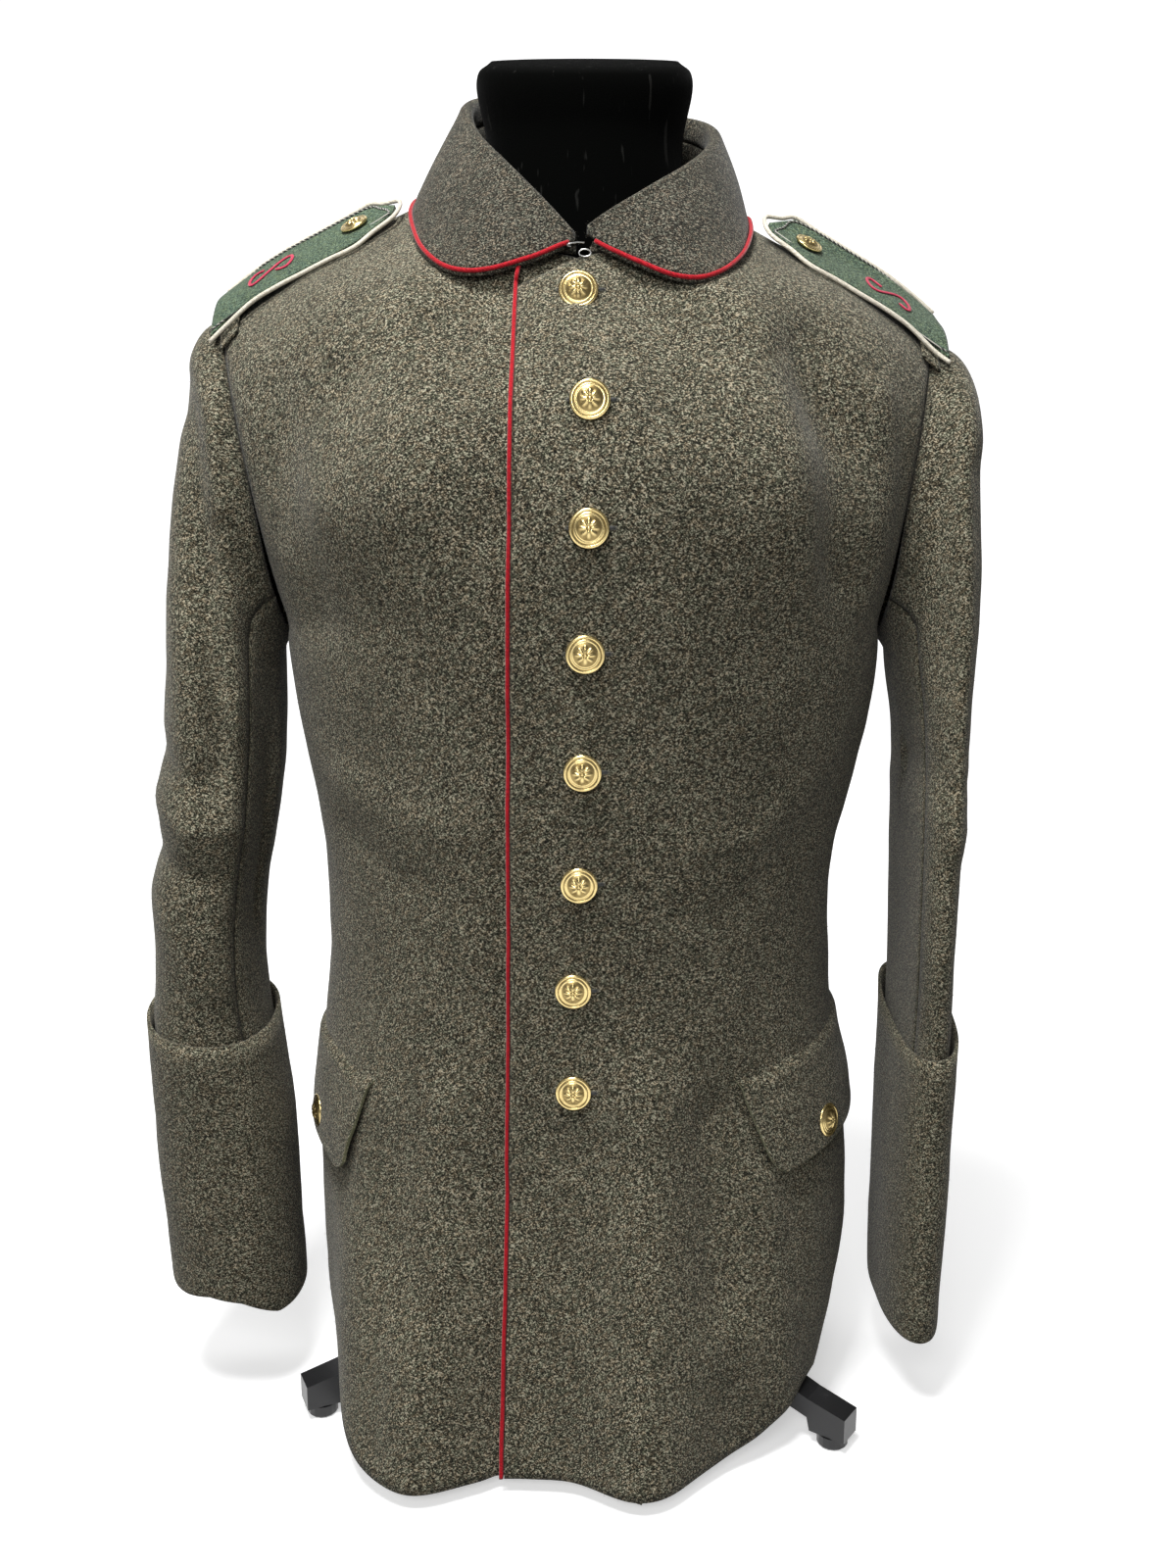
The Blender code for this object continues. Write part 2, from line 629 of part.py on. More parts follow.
def covered_front_grid():
    """The wearer's right front; under the other front it lies one layer deeper."""
    grid = []
    for row in rows():
        under = row <= NECK_ROW + 1e-6
        level = [None, None]
        if under:
            level = [body(1, True, UNDERLAP_SHARE * f, row) for f in (1.0, 0.5)]
        edge = edge_share(row if under else NECK_ROW)
        blend = ease((row - NECK_ROW) / (2 - NECK_ROW))
        marks = [0.0, edge / 2, edge + 0.016, edge + 0.016 + STEP_SHARE]
        while len(marks) <= COLUMNS:
            marks.append(mix(marks[3], 1.0, (len(marks) - 3) / (COLUMNS - 3)))
        marks = [mix(mark, j / COLUMNS, blend) for j, mark in enumerate(marks)]
        level += [body(-1, True, mark, row) for mark in marks]
        grid.append(level)
    return grid


def covered_front():
    """The covered front's sheet, sunk by one layer where the upper front lies on it."""
    sheet = Sheet("front_right", covered_front_grid(), (0, -9, 0), BODY_CLOTH, CLOTH)
    lap = int(round(LOW_ROWS + (NECK_ROW - 1) * TOP_ROWS)) + 1
    for i in range(lap):
        for j in range(5):
            k = i * (COLUMNS + 3) + j
            sheet.points[k] -= sheet.normals[k] * (BODY_CLOTH + LAP_GAP)
    sheet.own_normals()
    return sheet


def back_grid(side):
    return [
        [body(side, False, j / COLUMNS, row) for j in range(COLUMNS + 1)] for row in rows()
    ]


# ---- sleeves ----------------------------------------------------------------------------
def ring_angle(j):
    return math.radians(360 * j / (2 * TOP_ROWS))


def armhole_ring(side):
    """The armhole's points: from the shoulder tip down the front and up the back."""
    front = [armhole(side, True, 2 - j / TOP_ROWS) for j in range(TOP_ROWS + 1)]
    back = [armhole(side, False, 1 + j / TOP_ROWS) for j in range(1, TOP_ROWS)]
    ring = np.array(front + back)
    for j, point in enumerate(ring):
        point[0] += side * SCYE_GAP * ease((-math.cos(ring_angle(j)) - 0.2) / 0.4)
    return ring


def sleeve_ring(side, row):
    out = np.array((side * row.out_x, 0, row.out_z))
    inner = np.array((side * row.in_x, 0, row.in_z))
    ring = []
    for j in range(2 * TOP_ROWS):
        c, s = math.cos(ring_angle(j)), math.sin(ring_angle(j))
        c = math.copysign(abs(c) ** (2 / row.square), c)
        s = math.copysign(abs(s) ** (2 / row.square), s)
        point = mix(inner, out, (1 + c) / 2)
        point[1] = (row.front + row.back) / 2 - s * (row.back - row.front) / 2 - row.lead * c
        ring.append(point)
    return np.array(ring)


def sleeve_rings(side, places):
    """Rings of the sleeve at places from 0 (armhole) to 1 (its end), with its long folds."""
    marks = [armhole_ring(side)] + [sleeve_ring(side, row) for row in SLEEVES[side]]
    keys = np.linspace(0, 1, len(marks))
    rings = []
    for place in places:
        ring = curve(keys, marks, place)
        heart = ring.mean(axis=0)
        for fold in SLEEVE_FOLDS:
            if fold.side != side or not fold.start < place < fold.end:
                continue
            along = (place - fold.start) / (fold.end - fold.start)
            centre = mix(fold.top_angle, fold.low_angle, along)
            strength = fold.height * math.sin(math.pi * along) ** 0.8
            for j in range(len(ring)):
                apart = abs(math.degrees(ring_angle(j)) - centre)
                out = ring[j] - heart
                ring[j] += unit(out) * strength * bell(min(apart, 360 - apart), fold.width)
        rings.append(ring)
    return rings


def sleeve_sheets(side, name):
    rings = sleeve_rings(side, np.linspace(0, 1, SLEEVE_ROWS + 1))
    wide = 2 * TOP_ROWS
    upper = [j % wide for j in range(SLEEVE_BACK_SEAM, SLEEVE_FRONT_SEAM + wide + 1)]
    under = list(range(SLEEVE_FRONT_SEAM, SLEEVE_BACK_SEAM + 1))
    return [
        Sheet(f"sleeve_upper_{name}", [[r[j] for j in upper] for r in rings],
              (side * 9, 9, 0.6), BODY_CLOTH, CLOTH),
        Sheet(f"sleeve_under_{name}", [[r[j] for j in under] for r in rings],
              (-side * 2, -9, 0.4), BODY_CLOTH, CLOTH),
    ]


def cuff_sheet(side, name):
    """The turned-back cuff: up inside to the sleeve's end, round the fold and up outside."""
    end, before = sleeve_rings(side, (1.0, 0.97))
    wide = len(end)
    out = np.array([
        unit(np.cross(end[(j + 1) % wide] - end[j - 1], before[j] - end[j])) for j in range(wide)
    ])
    out *= np.sign(np.sum(out * (end - end.mean(axis=0)), axis=1))[:, None]
    down = np.array([unit(end[j] - before[j]) for j in range(wide)])
    full = BODY_CLOTH + CUFF_STAND
    path = (
        (-BODY_CLOTH, 0.0006), (-BODY_CLOTH, 0.0035), (-BODY_CLOTH + 0.0012, 0.0062),
        (full * 0.5 - BODY_CLOTH * 0.5, 0.0075), (full - 0.0012, 0.0062), (full, 0.0035),
    )
    grid = [[end[j] + out[j] * offset + down[j] * low for j in range(wide)]
            for offset, low in path]
    places = np.linspace(0.985, CUFF_TOP, CUFF_ROWS)
    for place, ring in zip(places, sleeve_rings(side, places)):
        heart = ring.mean(axis=0)
        share = (0.985 - place) / (0.985 - CUFF_TOP)
        grid.append([
            ring[j] + out[j] * (full + CUFF_FLARE * share)
            - down[j] * CUFF_TILT * share * (ring[j] - heart)[1]
            for j in range(wide)
        ])
    return Sheet(f"cuff_{name}", grid, tuple(end.mean(axis=0)), BODY_CLOTH, CLOTH, around=True)


# ---- collar -----------------------------------------------------------------------------
def neckline():
    """The neckline from the throat round the wearer's right, the back and the left."""
    right = [centre_line(-1, True, mix(NECK_ROW, 2, k / 6)) for k in range(6)]
    back_right = [centre_line(-1, False, mix(2, NECK_ROW, k / 6)) for k in range(6)]
    back_left = [centre_line(1, False, mix(NECK_ROW, 2, k / 6)) for k in range(6)]
    left = [centre_line(1, True, mix(2, NECK_ROW, k / 6)) for k in range(7)]
    return right + back_right + back_left + left


def collar_sheets(trees):
    keys = np.linspace(0, 1, len(COLLAR))
    stand, fall = [], []
    line = neckline()
    last = len(line) - 1
    up = np.array((0, 0, 1.0))
    for k, seam in enumerate(line):
        row = curve(keys, COLLAR, k / (len(line) - 1))
        roll, edge = row[:3], row[3:]
        out = roll - np.array((NECK_AXIS[0], NECK_AXIS[1], roll[2]))
        out = unit(out)
        if k in (0, len(line) - 1):
            seam = seam + np.array((0.0035 * (-1 if k == 0 else 1), 0, 0))
        seam = seam + up * 0.0008 - out * 0.0006
        heart = roll - up * ROLL_HALF
        inner_face = heart - out * ROLL_HALF
        stand_top = inner_face + out * COLLAR_CLOTH
        base = seam
        low = mix(base, stand_top, 1 - STAND_SHARE)
        stand.append([base, mix(base, low, 0.5), mix(base, low, 0.96)])
        leg = low - out * COLLAR_CLOTH
        profile = [mix(leg, inner_face, 0.06), inner_face]
        for turn in (135, 90, 45):
            turn = math.radians(turn)
            profile.append(
                heart + out * ROLL_HALF * math.cos(turn) + up * ROLL_HALF * math.sin(turn)
            )
        outer = heart + out * ROLL_HALF
        drop = edge - outer
        for f in (0.0, 0.25, 0.5, 0.75, 1.0):
            bulge = COLLAR_BULGE * math.sin(math.pi * f) * min(1, np.linalg.norm(drop) / 0.04)
            spot = outer + drop * f + out * bulge
            room = COLLAR_CLOTH + COLLAR_LIFT
            profile.append(clear_of(spot, trees, room) if f > 0.4 and k % last else spot)
        fall.append(profile)
    turn_round = lambda grid: [list(level) for level in zip(*grid)]
    return [
        Sheet("collar_stand", turn_round(stand), (0, -9, 0.75), COLLAR_CLOTH, COLLAR_SLOT),
        Sheet("collar_fall", turn_round(fall), (0, 0, 0.74), COLLAR_CLOTH, COLLAR_SLOT),
    ]


def clear_of(point, trees, room):
    """The point moved out along the cloth's face until it has that much room."""
    point = np.array(point, float)
    for _ in range(3):
        found = [tree.find_nearest(Vector(point), 0.05) for tree in trees]
        found = [hit for hit in found if hit[0] is not None]
        if found:
            near, normal, _, _ = min(found, key=lambda hit: hit[3])
            height = (Vector(point) - near).dot(normal)
            point = point + np.array(normal) * max(0.0, room - height)
    return point


# ---- pieces that lie on the cloth -------------------------------------------------------
def side_lengths(side, z):
    """Girth coordinates either side of the side line, with their distance along the cloth."""
    marks = np.linspace(0.1, 1.9, 61)
    ring = [section(side, u, z, True) for u in marks]
    steps = [np.linalg.norm(b - a) for a, b in zip(ring, ring[1:])]
    lengths = np.concatenate([[0], np.cumsum(steps)])
    return marks, lengths - np.interp(1.0, marks, lengths)


def skirt_spot(side, ahead, z, trees):
    """The cloth's outer face at a distance in front of the side line, and its normal."""
    marks, lengths = side_lengths(side, z)
    u = float(np.interp(-ahead, lengths, marks))
    point = section(side, u, z, True)
    step = 0.01
    across = section(side, u + step, z, True) - section(side, u - step, z, True)
    rise = section(side, u, z + 0.004, True) - section(side, u, z - 0.004, True)
    normal = unit(np.cross(across, rise))
    if normal @ (point - np.array((CENTRE_X, SIDE_Y, z))) < 0:
        normal = -normal
    start = Vector(point + normal * 0.03)
    hits = [tree.ray_cast(start, Vector(-normal), 0.06) for tree in trees]
    hits = [hit for hit in hits if hit[0] is not None]
    nearest = min(hits, key=lambda hit: hit[3], default=None)
    return (np.array(nearest[0]) if nearest else point), normal


def flap_sheet(side, name, trees):
    flap = FLAPS[side]
    slope = math.radians(flap.slope)
    grid = []
    corner = FLAP_CORNER
    downs = [flap.depth * f for f in (0, 0.3, 0.6)] + [
        flap.depth - corner, flap.depth - corner * 0.45, flap.depth]
    alongs = [0, corner * 0.3, corner]
    alongs += list(np.linspace(corner, flap.length - corner, 8)[1:])
    alongs += [flap.length - corner * 0.3, flap.length]
    for down in downs:
        level = []
        for along in alongs:
            low = down
            near = min(along, flap.length - along)
            if down > flap.depth - corner and near < corner:
                curl = corner - math.sqrt(max(corner**2 - (corner - near) ** 2, 0))
                low = down - curl * (down - flap.depth + corner) / corner
            ahead = flap.ahead - along * math.cos(slope) - low * math.sin(slope)
            z = flap.top + along * math.sin(slope) - low * math.cos(slope)
            point, normal = skirt_spot(side, ahead, z, trees)
            level.append(point + normal * (BODY_CLOTH + FLAP_LIFT))
        grid.append(level)
    return Sheet(f"flap_{name}", grid, (side * 9, -9, 0.2), BODY_CLOTH, CLOTH)


def strap_spot(side, along, across, trees):
    """The strap's upper face, along from its tip (0) to its outer end (1)."""
    strap = STRAPS[side]
    tip, end = np.array(strap.tip), np.array(strap.end)
    tilt = math.radians(strap.tilt)
    point = mix(tip, end, along) + across * np.array((0, math.cos(tilt), math.sin(tilt)))
    point[2] -= STRAP_DROP * max(0, along - 0.6) ** 2 / 0.16
    lift = mix(STRAP_LIFT, STRAP_OUTER_LIFT, ease((along - 0.35) / 0.4))
    spot = clear_of(point, trees, STRAP_CLOTH + lift)
    spot[2] += STRAP_BACK_RISE * (0.88 + across / STRAP_HALF) / 2
    return spot


def bridle_spot(side, along, across, trees):
    """The upper face of the cloth band that lies flat on the shoulder, under the strap."""
    strap = STRAPS[side]
    tilt = math.radians(strap.tilt)
    aside = np.array((0, math.cos(tilt), math.sin(tilt)))
    point = mix(np.array(strap.tip), np.array(strap.end), along) + across * aside
    point[2] -= STRAP_DROP * max(0, along - 0.6) ** 2 / 0.16
    found = [tree.find_nearest(Vector(point), 0.06) for tree in trees]
    near, normal, _, _ = min((hit for hit in found if hit[0] is not None), key=lambda hit: hit[3])
    return clear_of(np.array(near + normal * BRIDLE_ROOM), trees, BRIDLE_ROOM)


def strap_half_width(along, length):
    near = along * length
    return mix(STRAP_TIP_HALF, STRAP_HALF, min(1, near / STRAP_POINT))


def strap_length(side):
    return (STRAPS[side].end - STRAPS[side].tip).length


def strap_sheet(side, name, trees):
    length = strap_length(side)
    marks = [0, STRAP_POINT / length / 2, STRAP_POINT / length]
    marks += list(np.linspace(STRAP_POINT / length, 1, 7)[1:])
    grid = [
        [strap_spot(side, along, f * strap_half_width(along, length), trees)
         for f in (-1, -0.5, 0, 0.5, 1)]
        for along in marks
    ]
    return Sheet(f"strap_{name}", grid, (side * 0.1, 0, 9), STRAP_CLOTH, STRAP_SLOT), marks


def strap_piping_line(side, marks, trees):
    """The cord round three sides of a strap, just outside its edge."""
    length = strap_length(side)
    reach = PIPING_RADIUS + 0.0013
    line = []
    for sign, order in ((-1, marks[::-1]), (1, marks)):
        for along in order:
            slant = 1.35 if along * length < STRAP_POINT * 0.9 else 1.0
            half = strap_half_width(along, length) + reach * slant
            line.append(strap_spot(side, along, sign * half, trees))
    out = unit(np.array(STRAPS[side].tip - STRAPS[side].end))
    line = [
        p + out * reach * (1 if i in (len(marks) - 1, len(marks)) else 0)
        for i, p in enumerate(line)
    ]
    return [p - np.array((0, 0, PIPING_RADIUS * 0.6)) for p in line]


def button_profile(radius):
    r = radius
    return (
        (0.0, 0.0), (r * 0.92, 0.0), (r, r * 0.13), (r * 0.82, r * 0.27),
        (r * 0.70, r * 0.23), (r * 0.45, r * 0.38), (0.0, r * 0.43),
    )


# ---- dress form and stand ---------------------------------------------------------------
def form_point(side, front, share, row):
    """The body's surface without folds, drawn in to the form's skin."""
    point = body(side, front, share, row, fluted=False)
    step = 0.02
    s0, s1 = max(share - step, 0.0), min(share + step, 1.0)
    r0, r1 = max(row - step, 0.0), min(row + step, 2.0)
    across = body(side, front, s1, row, False) - body(side, front, s0, row, False)
    rise = body(side, front, share, r1, False) - body(side, front, share, r0, False)
    normal = unit(np.cross(across, rise))
    if normal @ (point - np.array((0, SIDE_Y, 0.5))) < 0:
        normal = -normal
    room = mix(FORM_EASE, FORM_SHOULDER_EASE, ease((row - 1.55) / 0.45))
    return point - normal * (BODY_CLOTH + room)


def form_torso():
    base_row = (FORM_BOTTOM_Z - HEM_Z) / (ARMPIT_Z - HEM_Z)
    marks = list(np.linspace(base_row, 1, 7)) + [1 + i / 6 for i in range(1, 7)]
    shares = np.linspace(0, 1, 7)
    points, faces, number = [], [], {}

    def spot(side, front, j, i):
        key = [side, front, j, i]
        if j == 0 and marks[i] <= NECK_ROW + 1e-6:
            key[0] = 1
        if j == len(shares) - 1 and (marks[i] <= 1 + 1e-6 or i == len(marks) - 1):
            key[1] = True
        if i == len(marks) - 1:
            key[1] = True
        key = tuple(key)
        if key not in number:
            number[key] = len(points)
            points.append(form_point(side, front, shares[j], marks[i]))
            if i == 0:
                points[-1][2] = FORM_BOTTOM_Z
        return number[key]

    last = len(shares) - 1
    for side in (-1, 1):
        for front in (True, False):
            for i in range(len(marks) - 1):
                for j in range(last):
                    faces.append([spot(side, front, j, i), spot(side, front, j + 1, i),
                                  spot(side, front, j + 1, i + 1), spot(side, front, j, i + 1)])
        for i in range(len(marks) - 1):
            if marks[i] >= 1 - 1e-6:
                faces.append([spot(side, True, last, i), spot(side, False, last, i),
                              spot(side, False, last, i + 1), spot(side, True, last, i + 1)])
    ring = []
    for side, front, order in ((1, True, range(last)), (1, False, range(last, 0, -1)),
                               (-1, False, range(last)), (-1, True, range(last, 0, -1))):
        ring += [spot(side, front, j, 0) for j in order]
    faces.append(ring)
    neck_rows = [i for i, mark in enumerate(marks) if mark >= NECK_ROW - 1e-6]
    loop = [spot(1, True, 0, i) for i in neck_rows] + [
        spot(1, False, 0, i) for i in neck_rows[-2::-1]
    ]
    loop += [spot(-1, False, 0, i) for i in neck_rows[1:]] + [
        spot(-1, True, 0, i) for i in neck_rows[-2:0:-1]
    ]
    base = np.array([points[i] for i in loop])
    heart = len(points)
    points.append(base.mean(axis=0))
    for a, b in zip(loop, loop[1:] + loop[:1]):
        faces.append([a, b, heart])
    tidy = []
    for face in faces:
        kept = [corner for i, corner in enumerate(face) if corner != face[i - 1]]
        if len(set(kept)) > 2:
            tidy.append(kept)
    return points, tidy, base


def form_neck(base):
    """The neck block: it stands on the torso's neck and ends in a tilted cap."""
    heart = base.mean(axis=0)
    turns = [math.atan2(p[1] - heart[1], p[0] - heart[0]) for p in base]
    order = np.argsort(turns)
    base = base[order]
    turns = [turns[i] for i in order]
    rings = [np.array([mix(heart, p, 0.80) + np.array((0, 0, 0.0006)) for p in base])]
    tilt = math.tan(math.radians(NECK_TOP_TILT))
    low, high = NECK_RINGS[0].z, NECK_RINGS[-1].z
    for row in NECK_RINGS:
        lean = tilt * (row.z - low) / (high - low)
        rings.append(np.array([
            (NECK_MIDDLE[0] + row.half_x * math.cos(turn),
             NECK_MIDDLE[1] + row.half_y * math.sin(turn),
             row.z + lean * row.half_y * math.sin(turn))
            for turn in turns
        ]))
    wide = len(base)
    points = [p for ring in rings for p in ring]
    points += [heart + np.array((0, 0, 0.0006)), rings[-1].mean(axis=0) + (0, 0, 0.002)]
    faces = [
        [i * wide + j, i * wide + (j + 1) % wide, (i + 1) * wide + (j + 1) % wide,
         (i + 1) * wide + j]
        for i in range(len(rings) - 1) for j in range(wide)
    ]
    top = (len(rings) - 1) * wide
    for j in range(wide):
        k = (j + 1) % wide
        faces.append([j, k, len(points) - 2])
        faces.append([top + j, top + k, len(points) - 1])
    return points, faces


def leg_mesh(name, turn):
    """One leg: a flat bar that slopes from the hub to its foot."""
    side_view = (
        (HUB_RADIUS + 0.0005, LEG_TOP_Z), (LEG_REACH - 0.014, 0.0300), (LEG_REACH + 0.012, 0.0245),
        (LEG_REACH + 0.012, FOOT_Z + 0.0003), (LEG_REACH - 0.012, FOOT_Z + 0.0003),
        (LEG_REACH - 0.014, 0.0170), (HUB_RADIUS + 0.0005, LEG_TOP_Z - 0.020),
    )
    ahead = np.array((math.sin(turn), math.cos(turn), 0))
    aside = np.array((math.cos(turn), -math.sin(turn), 0))
    points = []
    for sign in (-1, 1):
        for reach, z in side_view:
            half = mix(LEG_HALF, LEG_HALF * 0.8, reach / LEG_REACH)
            points.append(ahead * reach + aside * sign * half + np.array((0, 0, z)))
    count = len(side_view)
    faces = [list(range(count)), list(range(count, 2 * count))]
    faces += [[i, (i + 1) % count, (i + 1) % count + count, i + count] for i in range(count)]
    return mesh_of(name, points, faces)


# ---- the whole object -------------------------------------------------------------------
def build():
    clear_scene()
    carrier = bpy.data.objects.new("carrier", None)
    bpy.context.scene.collection.objects.link(carrier)
    carrier.location = (-BOX_MIDDLE_X, -BOX_MIDDLE_Y, 0)
    tunic, trim, stand = (collection(n) for n in ("tunic", "trimmings", "form_and_stand"))

    fronts = [
        Sheet("front_left", upper_front_grid(), (0, -9, 0), BODY_CLOTH, CLOTH),
        covered_front(),
    ]
    panels = fronts + [
        Sheet("back_right", back_grid(-1), (0, 9, 0), BODY_CLOTH, CLOTH),
        Sheet("back_left", back_grid(1), (0, 9, 0), BODY_CLOTH, CLOTH),
    ]
    sleeves = sleeve_sheets(-1, "right") + sleeve_sheets(1, "left")
    meet(panels + sleeves)
    cuffs = [cuff_sheet(-1, "right"), cuff_sheet(1, "left")]
    trees = [sheet.tree() for sheet in panels]
    collar = collar_sheets(trees)
    flaps = [flap_sheet(-1, "right", trees), flap_sheet(1, "left", trees)]
    under_strap = [sheet.tree() for sheet in panels + sleeves]
    straps = [strap_sheet(-1, "right", under_strap), strap_sheet(1, "left", under_strap)]
    for sheet in panels + sleeves + cuffs + collar:
        add(sheet.name, mesh_of(sheet.name, *sheet.body_mesh()), sheet.slot, tunic, carrier)
    for sheet in flaps + [strap for strap, _ in straps]:
        add(sheet.name, mesh_of(sheet.name, *sheet.body_mesh()), sheet.slot, trim, carrier)

    # Red cords along the front edge and the collar's free edge.
    upper = fronts[0]
    wide = COLUMNS + 3
    top = int(round(LOW_ROWS + (NECK_ROW - 1) * TOP_ROWS))
    line = []
    for i in range(top + 1):
        edge, inner = upper.points[i * wide], upper.points[i * wide + 1]
        out = unit(edge - inner)
        line.append(edge + out * (PIPING_RADIUS + 0.0004) - upper.normals[i * wide] * 0.0006)
    add("piping_front", cord_of("piping_front", line, PIPING_RADIUS), RED, trim, carrier)
    fall = collar[1]
    count = len(neckline())
    rim = len(fall.points) - count
    line = []
    for k in range(count):
        edge, before = fall.points[rim + k], fall.points[rim - count + k]
        out = unit(edge - before)
        spot = edge + out * (PIPING_RADIUS + 0.0026) - fall.normals[rim + k] * 0.0008
        line.append(clear_of(spot, trees, PIPING_RADIUS + 0.0034))
    line[0], line[-1] = mix(line[0], line[1], 0.8), mix(line[-1], line[-2], 0.8)
    add("piping_collar", cord_of("piping_collar", line, PIPING_RADIUS), RED, trim, carrier)

    # Shoulder straps: piping, the loop that holds each down, and its button.
    for side, (strap, marks), name in zip((-1, 1), straps, ("right", "left")):
        strap_tree = strap.tree()
        line = strap_piping_line(side, marks, under_strap)
        add(f"strap_piping_{name}", cord_of(f"strap_piping_{name}", line, PIPING_RADIUS),
            WHITE, trim, carrier)
        along = STRAP_BUTTON_IN / strap_length(side)
        spot = strap_spot(side, along, 0.0, under_strap)
        near = strap_spot(side, along + 0.1, 0.0, under_strap)
        aside = strap_spot(side, along, STRAP_HALF / 2, under_strap) - strap_spot(
            side, along, -STRAP_HALF / 2, under_strap)
        normal = unit(np.cross(near - spot, aside))
        normal = normal if normal[2] > 0 else -normal
        hit = strap_tree.ray_cast(Vector(spot + normal * 0.02), Vector(-normal))[0]
        turned(f"strap_button_{name}", button_profile(SMALL_BUTTON_RADIUS), BRASS, trim, carrier,
               standing_on(hit or spot, normal, seat([strap_tree], hit or spot, normal,
                                                     SMALL_BUTTON_RADIUS)), BUTTON_STEPS)
        grid = []
        length = strap_length(side)
        for f in (0, 1):
            level = []
            at = 1 - (LOOP_IN + LOOP_WIDTH * f) / length
            for g in (-1, -0.75, -0.5, -0.25, 0, 0.25, 0.5, 0.75, 1):
                level.append(bridle_spot(side, at, g * BRIDLE_HALF, under_strap))
            grid.append(level)
        loop = Sheet(f"strap_loop_{name}", grid, (side * 0.1, 0, 9), BRIDLE_CLOTH, CLOTH)
        add(loop.name, mesh_of(loop.name, *loop.body_mesh()), CLOTH, trim, carrier)

    # Buttons down the front and on the flaps.
    for i, row in enumerate(FRONT_BUTTONS, 1):
        start = Vector((row.x, -0.6, row.z))
        hit, _, face, _ = trees[0].ray_cast(start, Vector((0, 1, 0)))
        normal = unit(upper.normals[upper.faces[face]].sum(axis=0))
        turned(f"front_button_{i}", button_profile(FRONT_BUTTON_RADIUS), BRASS, trim, carrier,
               standing_on(hit, normal, seat(trees[:1], hit, normal, FRONT_BUTTON_RADIUS)),
               BUTTON_STEPS)
    for side, flap, name in zip((-1, 1), flaps, ("right", "left")):
        size = FLAPS[side]
        slope = math.radians(size.slope)
        along, down = size.length * FLAP_BUTTON_AHEAD, size.depth - FLAP_BUTTON_UP
        ahead = size.ahead - along * math.cos(slope) - down * math.sin(slope)
        z = size.top + along * math.sin(slope) - down * math.cos(slope)
        point, normal = skirt_spot(side, ahead, z, trees)
        tree = flap.tree()
        hit = tree.ray_cast(Vector(point + normal * 0.03), Vector(-normal))[0]
        turned(f"flap_button_{name}", button_profile(FRONT_BUTTON_RADIUS), BRASS, trim, carrier,
               standing_on(hit, normal, seat([tree], hit, normal, FRONT_BUTTON_RADIUS)),
               BUTTON_STEPS)

    # Hook and eye at the throat.
    throat = np.array(HOOK_AT)
    hook = [throat + np.array(p) * 0.001 for p in
            ((-6.4, 1.2, 0.6), (-2, 0, 0.4), (0.5, -0.6, 0.3), (2, 0.4, 0.6), (0.5, 1.4, 0.9))]
    eye = [throat + np.array(p) * 0.001 for p in
           ((6, 0.8, -2.6), (2, -0.6, -2.4), (0.2, -0.9, -3.6), (2, -0.4, -5.0), (6, 0.8, -4.8))]
    add("collar_hook", cord_of("collar_hook", hook, 0.0007), STEEL, trim, carrier)
    add("collar_eye", cord_of("collar_eye", eye, 0.0007), STEEL, trim, carrier)

    # Dress form on its tripod.
    points, faces, base = form_torso()
    add("form_torso", mesh_of("form_torso", points, faces), LINEN, stand, carrier)
    add("form_neck", mesh_of("form_neck", *form_neck(base)), VELVET, stand, carrier)
    pole = ((0, 0), (POLE_RADIUS, 0), (POLE_RADIUS, FORM_BOTTOM_Z - HUB_TOP_Z - 0.0006),
            (0, FORM_BOTTOM_Z - HUB_TOP_Z - 0.0006))
    turned("form_pole", pole, BLACK, stand, carrier,
           Matrix.Translation((0, 0, HUB_TOP_Z + 0.0003)), 16)
    hub = ((0, 0), (HUB_RADIUS, 0), (HUB_RADIUS, HUB_TOP_Z - HUB_LOW_Z - 0.003),
           (HUB_RADIUS - 0.003, HUB_TOP_Z - HUB_LOW_Z), (0, HUB_TOP_Z - HUB_LOW_Z))
    turned("form_hub", hub, BLACK, stand, carrier, Matrix.Translation((0, 0, HUB_LOW_Z)), 20)
    for name, degrees in (("back", 0), ("right", 240), ("left", 120)):
        turn = math.radians(degrees + LEG_TURN)
        add(f"form_leg_{name}", leg_mesh(f"form_leg_{name}", turn), BLACK, stand, carrier)
        spot = Vector((math.sin(turn) * LEG_REACH, math.cos(turn) * LEG_REACH, 0))
        glide = ((0, 0), (0.0085, 0), (0.0098, 0.0015), (0.0098, FOOT_Z), (0, FOOT_Z))
        turned(f"form_glide_{name}", glide, BLACK, stand, carrier, Matrix.Translation(spot), 16)


build()
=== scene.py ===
"""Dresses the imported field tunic: melange wool, red and white piping, brass buttons and the form's velvet.

Run it as a script in Blender 4.5. The sidebar of the 3D view lists its steps and the sizes behind them.
All sizes are in metres, in the frame's own axes: +Z up, the tunic's front towards -Y, the wearer's left +X.
"""

import math
from collections import namedtuple

import bmesh
import bpy
import numpy as np
from mathutils import Matrix, Vector
from mathutils.bvhtree import BVHTree


